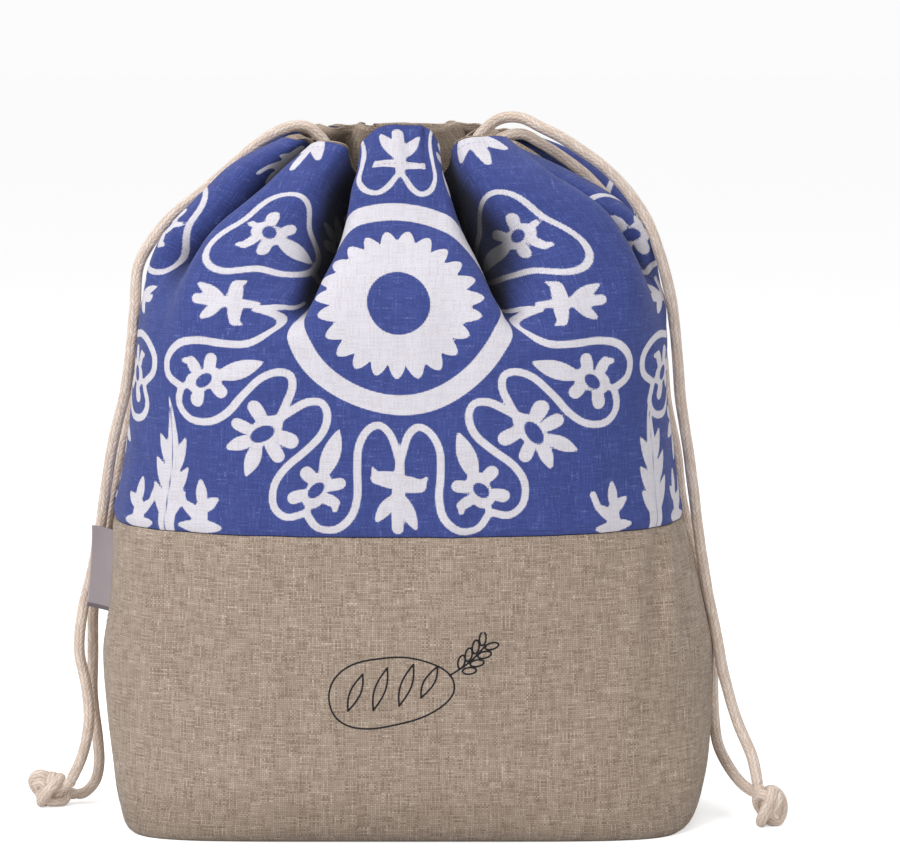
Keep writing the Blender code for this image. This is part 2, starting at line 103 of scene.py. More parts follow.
@dataclass(frozen=True)
class Section:
    """One level section of the standing bag."""

    height: float
    left: float
    right: float
    front: float
    back: float
    squareness: float


@dataclass(frozen=True)
class Ridge:
    """One gathered ridge and the valley that ends it, as shares of the girth and in mm."""

    name: str
    crest: float
    flat: float
    rise: float
    fall: float
    valley: float
    foot: float
    lift: float
    dip: float


@dataclass(frozen=True)
class Crease:
    """A soft trough or ridge laid on the cloth from one place to another."""

    name: str
    start: Pair
    end: Pair
    height: float
    width: float
    bow: float = 0.0
    run_out: float = 0.15
    fade: float = 0.45


@dataclass(frozen=True)
class Drift:
    """How far the folds near one place wander round the bag on their way down."""

    around: float
    width: float
    reach: float
    low: float
    high: float

    def shift(self, around: Array, height: float) -> Array:
        """Return how far the folds have wandered at each place, at one height."""
        gap = (around - self.around + 0.5) % 1.0 - 0.5
        down = float(smooth_step(np.array((self.high - height) / (self.high - self.low))))
        return self.reach * down * np.exp(-((gap / self.width) ** 2))


@dataclass(frozen=True)
class Tuck:
    """A valley that ridges overlap: rows of up, around, depth, near, slip and far in mm.

    Near, slip and far are how far the ridge's edge, the valley's bottom and the next
    ridge's edge lie from their plain places, away from the ridge.
    """

    name: str
    ridge: float
    rows: tuple[tuple[float, ...], ...]
    width: float = 8.5
    edge: float = 13.0
    near_reach: float = 42.0
    far_reach: float = 60.0

    def push(self, u: Array, v: Array) -> tuple[Array, Array]:
        """Return how far the tuck moves the cloth in, and along the bag's side."""
        table = np.array(self.rows)
        rows = np.clip(v, table[0, 0], table[-1, 0])
        line, depth, near, slip, far = (
            soft_column(table[:, 0], table[:, i], rows) for i in range(1, 6)
        )
        way = np.where(line > self.ridge, 1.0, -1.0)
        gap = ((u - line + 0.5 * GIRTH) % GIRTH - 0.5 * GIRTH) * way
        before = smooth_step((gap + self.near_reach) / (self.near_reach - self.edge))
        near = near * before * smooth_step(-gap / self.edge)
        slip = slip * smooth_step(1.0 - np.abs(gap) / self.edge)
        after = smooth_step((self.far_reach - gap) / (self.far_reach - self.edge))
        far = far * after * smooth_step(gap / self.edge)
        return depth * np.exp(-((gap / self.width) ** 2)), (near + slip + far) * way


SECTIONS = tuple(Section(*row) for row in (
    (0.0, 134.5, 134.0, 66.5, 58.0, 6.5),
    (1.5, 137.5, 137.5, 69.0, 60.5, 5.5),
    (5.0, 140.0, 141.5, 71.0, 62.5, 4.5),
    (14.0, 143.0, 145.8, 72.0, 65.0, 3.4),
    (28.0, 145.4, 148.8, 73.5, 67.5, 2.8),
    (50.0, 148.5, 150.2, 75.0, 69.5, 2.5),
    (80.0, 150.5, 151.0, 77.0, 72.0, 2.35),
    (106.0, 147.0, 146.2, 79.0, 76.0, 2.4),
    (127.0, 145.5, 141.0, 79.5, 80.0, 2.45),
    (149.0, 144.5, 135.5, 80.0, 84.0, 2.5),
    (180.0, 138.2, 131.0, 81.0, 88.0, 2.65),
    (205.0, 135.5, 129.0, 80.5, 90.0, 2.75),
    (222.0, 133.0, 128.0, 79.0, 89.0, 2.8),
    (241.0, 130.0, 126.0, 75.5, 86.0, 2.75),
    (255.0, 127.0, 124.5, 70.0, 80.5, 2.65),
    (269.0, 123.0, 120.8, 62.5, 72.0, 2.5),
    (284.0, 115.5, 114.6, 53.5, 61.5, 2.35),
    (298.0, 102.0, 103.4, 45.0, 52.0, 2.25),
    (309.0, 89.5, 93.4, 39.0, 45.0, 2.2),
    (319.0, 78.0, 80.2, 34.0, 39.0, 2.15),
    (327.5, 65.5, 65.5, 30.5, 34.5, 2.1),
    (335.0, 51.5, 50.0, 28.0, 30.5, 2.1),
))

RIDGES = tuple(Ridge(*row) for row in (
    ("front_middle", 0.000, 0.050, 1.02, 1.02, 0.061, 236.0, 7.0, 17.0),
    ("front_right", 0.109, 0.012, 0.90, 1.08, 0.166, 232.0, 2.0, 5.0),
    ("side_right_front", 0.209, 0.006, 0.84, 0.92, 0.250, 180.0, -5.0, 3.0),
    ("side_right_back", 0.300, 0.006, 0.92, 0.96, 0.350, 206.0, 3.5, 1.0),
    ("back_right", 0.396, 0.012, 1.00, 1.02, 0.448, 218.0, 6.0, -5.4),
    ("back_middle", 0.504, 0.038, 1.01, 1.00, 0.558, 224.0, 5.6, -5.0),
    ("back_left", 0.606, 0.012, 1.00, 0.98, 0.654, 210.0, 5.0, -4.0),
    ("side_left_back", 0.702, 0.006, 0.94, 0.94, 0.750, 184.0, 4.0, 0.5),
    ("side_left_front", 0.795, 0.006, 0.92, 0.84, 0.848, 234.0, 0.5, 5.0),
    ("front_left", 0.891, 0.012, 1.08, 0.90, 0.938, 238.0, -1.0, 18.0),
))

DRIFTS = (
    Drift(0.152, 0.055, 0.034, 288.0, 338.0),
    Drift(0.850, 0.055, -0.022, 284.0, 330.0),
    Drift(0.060, 0.028, 0.010, 250.0, 312.0),
    Drift(0.939, 0.028, -0.010, 250.0, 312.0),
)

TUCKS = (
    Tuck("middle_left", 0.0, (
        (244.0, -60.0, 0.0, 0.0, 0.0, 0.0), (253.0, -56.0, 3.0, 1.5, -1.0, -1.0),
        (261.0, -52.5, 8.0, 4.0, -3.5, -4.0), (270.0, -50.0, 12.0, 3.5, -6.0, -8.0),
        (290.0, -47.5, 15.0, 1.0, -6.0, -10.0), (310.0, -46.0, 12.0, 2.0, -3.0, -5.0),
        (325.0, -45.0, 8.0, 1.5, 0.0, -2.0), (340.0, -44.5, 6.0, -1.5, 0.0, 0.0),
        (361.0, -44.0, 5.0, -3.0, 0.0, 0.0),
    )),
    Tuck("middle_right", 0.0, (
        (240.0, 62.0, 0.0, 0.0, 0.0, 0.0), (250.0, 57.0, 3.0, 1.5, -1.0, -1.0),
        (259.0, 53.0, 8.0, 4.0, -3.5, -4.0), (270.0, 50.5, 12.0, 2.0, -6.0, -8.5),
        (290.0, 48.0, 15.0, 0.5, -6.0, -12.0), (310.0, 46.0, 12.0, -1.5, -5.0, -13.0),
        (325.0, 45.5, 9.0, -4.5, -5.0, -12.0), (340.0, 45.0, 7.0, -8.5, -6.0, -11.0),
        (361.0, 44.5, 5.0, -11.0, -6.0, -7.0),
    )),
    Tuck("right_shoulder", 92.0, (
        (258.0, 160.0, 0.0, 0.0, 0.0, 0.0), (282.0, 153.0, 4.5, 3.5, 0.0, -3.0),
        (305.0, 143.0, 8.0, 5.0, -1.0, -5.0), (330.0, 130.0, 8.0, 3.0, -2.0, -5.0),
        (361.0, 121.0, 5.0, 0.0, -1.0, -2.0),
    ), width=8.0, near_reach=34.0, far_reach=40.0),
    Tuck("left_shoulder", -80.0, (
        (260.0, -148.0, 0.0, 0.0, 0.0, 0.0), (282.0, -141.0, 4.0, 3.5, 0.0, -3.0),
        (303.0, -131.0, 7.5, 5.0, -1.0, -4.0), (330.0, -119.0, 7.0, 3.5, -1.0, -3.0),
        (361.0, -111.0, 4.0, 0.0, 0.0, -1.0),
    ), width=8.0, near_reach=34.0, far_reach=40.0),
)

CREASES = tuple(Crease(*row) for row in (
    ("ring_dent", (64.0, 262.0), (92.0, 232.0), -0.9, 8.0, 4.0),
    ("left_shoulder_dent", (-70.0, 262.0), (-108.0, 228.0), -0.9, 9.0, -5.0),
    ("right_corner_fold", (141.0, 152.0), (136.0, 92.0), 3.0, 5.0, 2.0),
    ("right_corner_dip", (130.0, 150.0), (126.0, 88.0), -2.6, 5.5, 2.0),
    ("right_inner_fold", (118.0, 146.0), (112.0, 82.0), 1.5, 7.0, 3.0),
    ("left_corner_roll", (-137.0, 148.0), (-126.0, 56.0), 2.2, 8.0, -4.0),
    ("left_corner_dip", (-117.0, 140.0), (-108.0, 66.0), -1.8, 9.0, -3.0),
    ("low_left_sag", (-96.0, 42.0), (-30.0, 25.0), 1.2, 11.0, 4.0),
    ("low_right_sag", (34.0, 30.0), (104.0, 38.0), 1.3, 11.0, -4.0),
    ("back_left_fold", (-236.0, 250.0), (-262.0, 150.0), -1.3, 8.0, 6.0),
    ("back_right_fold", (240.0, 246.0), (270.0, 168.0), -1.2, 8.0, -5.0),
    ("back_low_fold", (-300.0, 120.0), (-330.0, 52.0), 1.0, 10.0, 5.0),
    ("back_middle_dent", (352.0, 236.0), (330.0, 176.0), -1.0, 10.0, 5.0),
    ("side_right_fold", (196.0, 240.0), (206.0, 170.0), -1.3, 7.0, 3.0),
    ("side_left_fold", (-206.0, 232.0), (-214.0, 160.0), -1.2, 7.0, -3.0),
    ("right_shoulder_swell", (214.0, 354.0), (204.0, 286.0), 3.2, 17.0, 3.0),
))


def smooth_step(share: Array) -> Array:
    """Rise softly from 0 to 1 as share goes from 0 to 1."""
    share = np.clip(share, 0.0, 1.0)
    return share * share * (3.0 - 2.0 * share)


def ease(value: Array, start: float, span: float) -> Array:
    """Rise softly from 0 where value is start to 1 where it is a span further."""
    return smooth_step((value - start) / span)


def unit(vectors: Array) -> Array:
    """Return vectors at length 1."""
    return vectors / np.linalg.norm(vectors, axis=-1, keepdims=True)


def running(steps: Array) -> Array:
    """Return the running sum of steps, from 0."""
    return np.concatenate(([0.0], np.cumsum(steps)))


def soft_column(knots: Array, values: Array, where: Array) -> Array:
    """Read a smooth curve through table values, one that never overshoots them.

    Args:
        knots: Where the values stand, rising.
        values: The table values.
        where: The places to read.

    Returns:
        The curve's value at each place.
    """
    steps = np.diff(knots)
    slopes = np.diff(values) / steps
    tangents = np.zeros_like(values)
    same_way = slopes[:-1] * slopes[1:] > 0.0
    weight_a = 2.0 * steps[1:] + steps[:-1]
    weight_b = steps[1:] + 2.0 * steps[:-1]
    inner = np.zeros_like(slopes[1:])
    inner[same_way] = (weight_a + weight_b)[same_way] / (
        weight_a[same_way] / slopes[:-1][same_way] + weight_b[same_way] / slopes[1:][same_way]
    )
    tangents[1:-1] = inner
    tangents[0] = slopes[0]
    tangents[-1] = slopes[-1]
    at = np.clip(np.searchsorted(knots, where, side="right") - 1, 0, len(steps) - 1)
    share = (where - knots[at]) / steps[at]
    rest = 1.0 - share
    return (
        values[at] * (1.0 + 2.0 * share) * rest * rest
        + tangents[at] * steps[at] * share * rest * rest
        + values[at + 1] * share * share * (3.0 - 2.0 * share)
        - tangents[at + 1] * steps[at] * share * share * rest
    )


@dataclass
class BagShape:
    """The outer face of the standing bag, a table of points around by up the cloth."""

    around_samples: int = 1600
    up_samples: int = 400
    section_fineness: int = 4
    swing_steps: int = 40
    fold_rise: float = 68.0
    steepest: float = 2.05
    mouth_start: float = 292.0
    seam_groove: float = 0.9
    seam_width: float = 2.2
    pucker: float = 0.55
    pucker_wave: float = 11.0
    gather_start: float = 46.0
    gather_span: float = 34.0
    ripple: float = 0.35
    ripples: tuple[Triple, ...] = (
        (9, 71.0, 0.4), (14, 53.0, 2.1), (21, 38.0, 4.0), (31, 29.0, 5.2),
    )
    level_share: float = 0.2
    shade_reach: float = 33.0
    shade_step: float = 3.0
    shade_from: float = 6.0
    shade_span: float = 14.0
    around: Array = field(init=False)
    up: Array = field(init=False)
    heights: Array = field(init=False)
    points: Array = field(init=False)
    normals: Array = field(init=False)
    shade: Array = field(init=False)

    def __post_init__(self) -> None:
        """Work out the folded face, then lay the creases and seams on it."""
        self.around = np.linspace(0.0, 1.0, self.around_samples + 1)
        table = np.array([
            (s.height, s.left, s.right, s.front, s.back, s.squareness) for s in SECTIONS
        ])
        reach = table[:, 1:5].mean(axis=1)
        knots = running(np.hypot(np.diff(table[:, 0]), np.diff(reach)))
        self.up = np.linspace(0.0, knots[-1], self.up_samples)
        columns = [soft_column(knots, table[:, i], self.up) for i in range(table.shape[1])]
        self.heights = columns[0]
        plain = np.zeros((self.up_samples, self.around_samples + 1, 3))
        along = np.zeros(plain.shape[:2])
        out = np.zeros(plain.shape[:2])
        for row in range(self.up_samples):
            outline, length = self.plain_section(*(column[row] for column in columns[1:]))
            plain[row, :, :2] = outline
            plain[row, :, 2] = self.heights[row]
            lean = self.fold_lean(float(self.heights[row]))
            along[row], out[row] = self.swing(lean, length / GIRTH)
        normals = self.face_normals(plain)
        self.points = np.zeros_like(plain)
        outward = np.zeros_like(plain)
        for row in range(self.up_samples):
            for axis in range(3):
                base = np.interp(along[row], self.around, plain[row, :, axis])
                outward[row, :, axis] = np.interp(along[row], self.around, normals[row, :, axis])
                self.points[row, :, axis] = base + outward[row, :, axis] * out[row]
        top = self.heights[-1]
        rim = ease(self.heights, self.mouth_start, top - self.mouth_start)[:, None]
        level = self.heights[:, None] + self.rim_profile()[None, :]
        self.points[:, :, 2] += rim * (level - self.points[:, :, 2])
        self.tuck_folds(outward, out)
        self.normals = self.face_normals(self.points)
        self.points += self.normals * self.relief()[..., None]
        self.points[:, :, 2] = np.maximum(self.points[:, :, 2], 0.0)

    def tuck_folds(self, outward: Array, out: Array) -> None:
        """Sink the tucked valleys, let ridges overlap them, and find how deep each place is for
        painted shade.
        """
        u, v = self.cloth_places()
        side = np.stack((-outward[..., 1], outward[..., 0], np.zeros_like(u)), axis=-1)
        sunk = out.copy()
        for tuck in TUCKS:
            depth, lip = tuck.push(u, v)
            self.points -= outward * depth[..., None]
            self.points += side * lip[..., None]
            sunk -= depth
        around = sunk[:, :-1]
        top = around.copy()
        per_mm = self.around_samples / GIRTH
        for gap in np.arange(-self.shade_reach, self.shade_reach + 1.0, self.shade_step):
            top = np.maximum(top, np.roll(around, int(round(gap * per_mm)), axis=1))
        hollow = np.concatenate((top - around, (top - around)[:, :1]), axis=1)
        # painted shade: places sunk below their neighbours are darkened in the cloth's colour
        self.shade = ease(hollow, self.shade_from, self.shade_span)

    def plain_section(
        self, left: float, right: float, front: float, back: float, squareness: float
    ) -> tuple[Array, float]:
        """Return the even-spaced outline of a level section and its length."""
        turn = np.linspace(0.0, 2.0 * np.pi, self.section_fineness * self.around_samples + 1)
        across, ahead = np.sin(turn), np.cos(turn)
        side = np.where(across >= 0.0, right, left)
        depth = np.where(ahead >= 0.0, front, back)
        reach = np.abs(across / side) ** squareness + np.abs(ahead / depth) ** squareness
        reach = reach ** (-1.0 / squareness)
        outline = np.column_stack((reach * across, -reach * ahead))
        run = running(np.hypot(*np.diff(outline, axis=0).T))
        wanted = np.linspace(0.0, run[-1], self.around_samples + 1)
        even = np.column_stack([np.interp(wanted, run, column) for column in outline.T])
        return even, float(run[-1])

    def rim_profile(self) -> Array:
        """Return how far the mouth's rim stands over its plain height at each place."""
        lines = []
        for ridge in RIDGES:
            level_top = self.level_share * ridge.flat
            lines += [
                (ridge.crest - level_top, ridge.lift), (ridge.crest + level_top, ridge.lift),
                (ridge.valley, -ridge.dip),
            ]
        lines = sorted((place % 1.0, level) for place, level in lines)
        first, last = lines[0], lines[-1]
        lines = [(last[0] - 1.0, last[1]), *lines, (first[0] + 1.0, first[1])]
        level = np.zeros_like(self.around)
        for (low, low_level), (high, high_level) in zip(lines[:-1], lines[1:]):
            share = (self.around - low) / (high - low)
            inside = (share >= 0.0) & (share < 1.0)
            level[inside] = low_level + (high_level - low_level) * smooth_step(share[inside])
        level[-1] = level[0]
        return level

    def fold_lean(self, height: float) -> Array:
        """Return how strongly the cloth leans at each place around, at one height."""
        around = self.around - sum(drift.shift(self.around, height) for drift in DRIFTS)
        lean = np.zeros_like(around)
        for index, ridge in enumerate(RIDGES):
            before = RIDGES[index - 1]
            start = before.valley - (1.0 if before.valley > ridge.crest else 0.0)
            flanks = (
                (start, ridge.crest - 0.5 * ridge.flat, ridge.rise, before.foot),
                (ridge.crest + 0.5 * ridge.flat, ridge.valley, -ridge.fall, ridge.foot),
            )
            for low, high, slope, foot in flanks:
                strength = slope * ease(height, foot, self.fold_rise)
                share = np.mod(around - low, 1.0) / (high - low)
                swell = strength * np.sin(np.pi * np.clip(share, 0, 1))
                lean += np.where(share <= 1.0, swell, 0.0)
        return lean

    def swing(self, lean: Array, room: float) -> tuple[Array, Array]:
        """Find the swing of the folds that fits the girth into the room of a section."""
        low, high = 0.0, self.steepest
        for _ in range(self.swing_steps):
            middle = 0.5 * (low + high)
            if np.cos(middle * lean[:-1]).mean() > room:
                low = middle
            else:
                high = middle
        along = running(np.cos(low * lean[:-1]))
        out = running(np.sin(low * lean[:-1])) / (len(lean) - 1)
        out -= np.linspace(0.0, out[-1], len(out))
        return along / along[-1], (out - out[:-1].mean()) * GIRTH

    def relief(self) -> Array:
        """Return how far creases, seams, gathers and ripples push the cloth out."""
        u, v = self.cloth_places()
        push = np.zeros_like(u)
        for crease in CREASES:
            push += self.crease_push(crease, u, v)
        seam = v - self.seam_up()
        push -= self.seam_groove * np.exp(-((seam / self.seam_width) ** 2))
        push += 0.4 * self.seam_groove * np.exp(-(((np.abs(seam) - 6.0) / 4.0) ** 2))
        side = np.abs(np.abs(u) - 0.25 * GIRTH)
        standing = smooth_step(v / 12.0)
        push -= standing * self.seam_groove * np.exp(-((side / self.seam_width) ** 2))
        gather = ease(v, self.up[-1] - self.gather_start, self.gather_span)
        wave = np.sin(2 * np.pi * u / self.pucker_wave + 1.7 * np.sin(u / 23.0) + v / 21.0)
        push += self.pucker * gather * wave * (0.6 + 0.4 * np.sin(u / 17.0 + 1.0))
        phase = 2.0 * np.pi * u / GIRTH
        still = smooth_step(v / 20.0)
        for turns, rise, shift in self.ripples:
            push += self.ripple * still * np.sin(turns * phase + shift) * np.sin(v / rise + shift)
        return push

    @staticmethod
    def crease_push(crease: Crease, u: Array, v: Array) -> Array:
        """Return how far one crease pushes the cloth out at each place."""
        start, end = np.array(crease.start), np.array(crease.end)
        line = end - start
        length = float(np.hypot(*line))
        line /= length
        du = (u - start[0] + 0.5 * GIRTH) % GIRTH - 0.5 * GIRTH
        dv = v - start[1]
        share = (du * line[0] + dv * line[1]) / length
        across = du * line[1] - dv * line[0]
        across = across - crease.bow * np.sin(np.pi * np.clip(share, 0.0, 1.0))
        fade = smooth_step((share + crease.run_out) / crease.fade)
        fade *= smooth_step((1.0 + crease.run_out - share) / crease.fade)
        return crease.height * fade * np.exp(-((across / crease.width) ** 2))

    @staticmethod
    def face_normals(points: Array) -> Array:
        """Return the outward normals of a closed table of points."""
        closed = points[:, :-1]
        side = np.roll(closed, -1, axis=1) - np.roll(closed, 1, axis=1)
        rise = np.gradient(closed, axis=0)
        normal = unit(np.cross(side, rise))
        return np.concatenate((normal, normal[:, :1]), axis=1)

    def cloth_places(self) -> list[Array]:
        """Return each point's millimetres around the cloth and up it."""
        over = np.where(self.around > 0.5, self.around - 1.0, self.around) * GIRTH
        return np.meshgrid(over, self.up)

    def seam_up(self) -> float:
        """Return the length up the cloth at which the print meets the lower panel."""
        return float(np.interp(SEAM_HEIGHT, self.heights, self.up))

    def read(self, table: Array, u: Array, v: Array) -> Array:
        """Read a table of points or normals at places around and up the cloth, in mm."""
        column = np.mod(np.asarray(u) / GIRTH, 1.0) * self.around_samples
        row = np.clip(np.asarray(v) / self.up[-1], 0.0, 1.0) * (self.up_samples - 1)
        low_column = np.minimum(np.floor(column).astype(int), self.around_samples - 1)
        low_row = np.clip(np.floor(row).astype(int), 0, self.up_samples - 2)
        across = (column - low_column)[..., None]
        above = (row - low_row)[..., None]
        lower = table[low_row, low_column] * (1 - across)
        lower += table[low_row, low_column + 1] * across
        upper = table[low_row + 1, low_column] * (1 - across)
        upper += table[low_row + 1, low_column + 1] * across
        return lower * (1 - above) + upper * above

    def shade_at(self, u: Array, v: Array) -> Array:
        """Return the painted fold shade: how deep in a fold each place lies, from 0 to 1."""
        return self.read(self.shade[..., None], u, v)[..., 0]

    def place(self, u: Array, v: Array, depth: Array | float = 0.0) -> Array:
        """Return the points that lie depth under the outer face.

        Args:
            u: Millimetres around the cloth from its front centre.
            v: Millimetres up the cloth, which may run past the rim.
            depth: Millimetres under the outer face.

        Returns:
            The points, in millimetres.
        """
        u, v = np.broadcast_arrays(np.asarray(u, float), np.asarray(v, float))
        normal = unit(self.read(self.normals, u, v))
        points = self.read(self.points, u, v)
        beyond = np.maximum(v - self.up[-1], 0.0)[..., None]
        below = np.full_like(v, self.up[-1] - 1.0)
        rise = self.read(self.points, u, below + 1.0) - self.read(self.points, u, below)
        points = points + beyond * unit(rise)
        return points - np.asarray(depth, float)[..., None] * normal


Place = Callable[[Array, Array, Array], Array]


def zip_rows(
    first: Array, first_at: Array, second: Array, second_at: Array
) -> list[tuple[int, int, int]]:
    """Join two rows of points of unlike number with triangles.

    Args:
        first: Point numbers of the first row.
        first_at: Where they stand along the row, rising.
        second: Point numbers of the second row.
        second_at: Where they stand along the row, rising.

    Returns:
        The triangles, turned as first to next to second.
    """
    i = j = 0
    faces = []
    while i < len(first) - 1 or j < len(second) - 1:
        first_next = first_at[i + 1] if i < len(first) - 1 else np.inf
        second_next = second_at[j + 1] if j < len(second) - 1 else np.inf
        if first_next <= second_next:
            faces.append((int(first[i]), int(first[i + 1]), int(second[j])))
            i += 1
        else:
            faces.append((int(first[i]), int(second[j + 1]), int(second[j])))
            j += 1
    return faces


def edge_lines(
    ends: Pair, spacing: float, radius: float, first_turn: float,
    fine: Pair | None = None, fine_spacing: float = 1.0,
) -> tuple[Array, Array]:
    """Lay grid lines between two rolled edges.

    Args:
        ends: Where the two edges stand.
        spacing: Distance between lines.
        radius: Radius of the rolled edges, 0 for an edge that runs on.
        first_turn: Degrees of roll at which the lines start, 0 being the very edge.
        fine: A stretch with closer lines.
        fine_spacing: Distance between lines in that stretch.

    Returns:
        The places of the lines, and how far each has rolled flat, from 0 to 1.
    """
    low, high = ends
    turns = np.radians([turn for turn in (0.0, 35.0, 65.0) if turn >= first_turn])
    lead = radius * (1.0 - np.cos(turns)) if radius else np.zeros(0)
    rolled = np.sin(turns) if radius else np.zeros(0)
    stops = [low + radius, high - radius]
    steps = [spacing]
    if fine is not None:
        stops = [low + radius, *fine, high - radius]
        steps = [spacing, fine_spacing, spacing]
    inner = [np.array(stops[:1])]
    for start, stop, step in zip(stops[:-1], stops[1:], steps):
        count = max(2, int(round((stop - start) / step)))
        inner.append(np.linspace(start, stop, count + 1)[1:])
    flat = np.concatenate(inner)
    places = np.concatenate((low + lead, flat, high - lead[::-1]))
    return places, np.concatenate((rolled, np.ones_like(flat), rolled[::-1]))


@dataclass
class Draft:
    """Points, cloth map and faces gathered for one mesh, in millimetres."""

    name: str
    points: list[Array] = field(default_factory=list)
    maps: list[Array] = field(default_factory=list)
    faces: list[tuple[int, ...]] = field(default_factory=list)
    count: int = 0

    def add(self, points: Array, maps: Array) -> Array:
        """Add points with their places on the map.

        Args:
            points: The points, in any grid shape.
            maps: Their across, up and side values, in the same grid shape.

        Returns:
            The points' numbers, in the same grid shape.
        """
        shape = points.shape[:-1]
        size = int(np.prod(shape))
        numbers = np.arange(self.count, self.count + size).reshape(shape)
        self.points.append(points.reshape(-1, 3))
        self.maps.append(maps.reshape(-1, 3))
        self.count += size
        return numbers

    def cover(self, numbers: Array, turned: bool = False) -> None:
        """Cover a grid of points with four-sided faces."""
        quads = np.stack(
            (numbers[:-1, :-1], numbers[:-1, 1:], numbers[1:, 1:], numbers[1:, :-1]), axis=-1
        ).reshape(-1, 4)
        self.faces += [tuple(quad) for quad in (quads[:, ::-1] if turned else quads).tolist()]

    def join(
        self, first: Array, first_at: Array, second: Array, second_at: Array,
        turned: bool = False,
    ) -> None:
        """Join two rows of points with triangles, turned round if asked."""
        triangles = zip_rows(first, first_at, second, second_at)
        self.faces += [face[::-1] for face in triangles] if turned else triangles

    def build(self) -> tuple[Item, Array]:
        """Weld the points that meet and make the object.

        Returns:
            The object, in metres, and the map values of its points.
        """
        points, maps = np.concatenate(self.points), np.concatenate(self.maps)
        keys = np.round(points * WELDS_PER_MM).astype(np.int64)
        _, first, weld = np.unique(keys, axis=0, return_index=True, return_inverse=True)
        weld = weld.reshape(-1)
        faces, corners = [], []
        for face in self.faces:
            welded = [int(weld[number]) for number in face]
            kept = [i for i, number in enumerate(welded) if number != welded[i - 1]]
            if len(kept) > 2 and len(set(welded)) > 2:
                faces.append([welded[i] for i in kept])
                corners += [face[i] for i in kept]
        mesh = bpy.data.meshes.new(self.name)
        mesh.from_pydata((points[first] * MM).tolist(), [], faces)
        mesh.shade_smooth()
        layer = mesh.uv_layers.new(name=CLOTH_MAP)
        layer.data.foreach_set("uv", (maps[corners][:, :2] * MM).ravel())
        return add_item(self.name, mesh), maps[first]


def add_item(name: str, data: bpy.types.ID) -> Item:
    """Return a new object with this data, linked to the scene."""
    made = bpy.data.objects.new(name, data)
    bpy.context.collection.objects.link(made)
    return made


def mark_points(piece: Item, name: str, values: Array) -> None:
    """Store one number on each point of a piece."""
    layer = piece.data.attributes.new(name, "FLOAT", "POINT")
    layer.data.foreach_set("value", np.ascontiguousarray(values, dtype=np.float32))


def set_finish(piece: Item, material: Material) -> None:
    """Give a piece its one material."""
    piece.data.materials.clear()
    piece.data.materials.append(material)


def dress(piece: Item, material: Material, node: str | None = None) -> Item:
    """Give a piece its material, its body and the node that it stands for.

    Args:
        piece: The finished piece.
        material: What it is made of.
        node: The node that it replaces, if any.

    Returns:
        The piece.
    """
    set_finish(piece, material)
    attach(piece, "root")
    if node is not None:
        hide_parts(node)
    return piece


@dataclass
class Panel:
    """A cut of cloth with an outer and an inner skin and rolled edges."""

    name: str
    across: Pair
    up: Pair
    thickness: float
    spacing: float
    fine_across: Pair | None = None
    fine_up: Pair | None = None
    fine_spacing: float = 1.0
    ring: bool = False
    open_foot: bool = False
    inner_coarser: float = 2.2
    inner_fine_coarser: float = 4.0

    def skin(self, draft: Draft, place: Place, inner: bool) -> tuple[Array, ...]:
        """Add one skin's grid of points.

        Args:
            draft: Where the points go.
            place: Puts a place on the cloth, at a depth, into space.
            inner: Whether this is the coarser inner skin.

        Returns:
            The grid of point numbers, and the places of its columns and rows.
        """
        half = 0.5 * self.thickness
        spacing = self.spacing * (self.inner_coarser if inner else 1.0)
        fine_spacing = self.fine_spacing * (self.inner_fine_coarser if inner else 1.0)
        turn = 35.0 if inner else 0.0
        columns, across_roll = edge_lines(
            self.across, spacing, 0.0 if self.ring else half, turn, self.fine_across, fine_spacing
        )
        rows, up_roll = edge_lines(self.up, spacing, half, turn, self.fine_up, fine_spacing)
        if self.open_foot:
            keep = rows >= self.up[0] + half - 1e-9
            rows, up_roll = rows[keep], up_roll[keep]
            rows[0] = self.up[0]
        roll = up_roll[:, None] * across_roll[None, :]
        depth = half * (1.0 + roll) if inner else half * (1.0 - roll)
        u, v = np.meshgrid(columns, rows)
        maps = np.stack((u, v, np.full_like(u, float(inner))), axis=-1)
        return draft.add(place(u, v, depth), maps), columns, rows

    def lay(self, draft: Draft, place: Place) -> tuple[Array, Array]:
        """Add both skins and close them along the edges.

        Args:
            draft: Where the points and faces go.
            place: Puts a place on the cloth, at a depth, into space.

        Returns:
            The grids of point numbers of the outer and the inner skin.
        """
        outer, columns, rows = self.skin(draft, place, inner=False)
        inner, inner_columns, inner_rows = self.skin(draft, place, inner=True)
        draft.cover(outer)
        draft.cover(inner, turned=True)
        draft.join(outer[-1], columns, inner[-1], inner_columns)
        if not self.open_foot:
            draft.join(outer[0], columns, inner[0], inner_columns, turned=True)
        if not self.ring:
            draft.join(outer[:, 0], rows, inner[:, 0], inner_rows)
            draft.join(outer[:, -1], rows, inner[:, -1], inner_rows, turned=True)
        return outer, inner


@dataclass(frozen=True)
class Leaf:
    """A blob drawn from start to end: its radius at both ends and the swelling between."""

    start: Pair
    end: Pair
    start_radius: float
    end_radius: float
    swell: float = 0.0

    def distance(self, x: Array, y: Array) -> Array:
        """Return how far each place lies outside the blob, negative inside."""
        line = np.subtract(self.end, self.start)
        length = float(np.hypot(*line))
        along = ((x - self.start[0]) * line[0] + (y - self.start[1]) * line[1]) / length**2
        share = np.clip(along, 0.0, 1.0)
        off = np.hypot(x - self.start[0] - share * line[0], y - self.start[1] - share * line[1])
        radius = self.start_radius + (self.end_radius - self.start_radius) * share
        return off - radius - self.swell * np.sin(np.pi * share) ** 0.9


def leaves(*rows: tuple[float, ...]) -> tuple[Leaf, ...]:
    """Return leaves from rows of start x and y, end x and y, both radii and the swelling."""
    return tuple(Leaf(row[:2], row[2:4], *row[4:]) for row in rows)


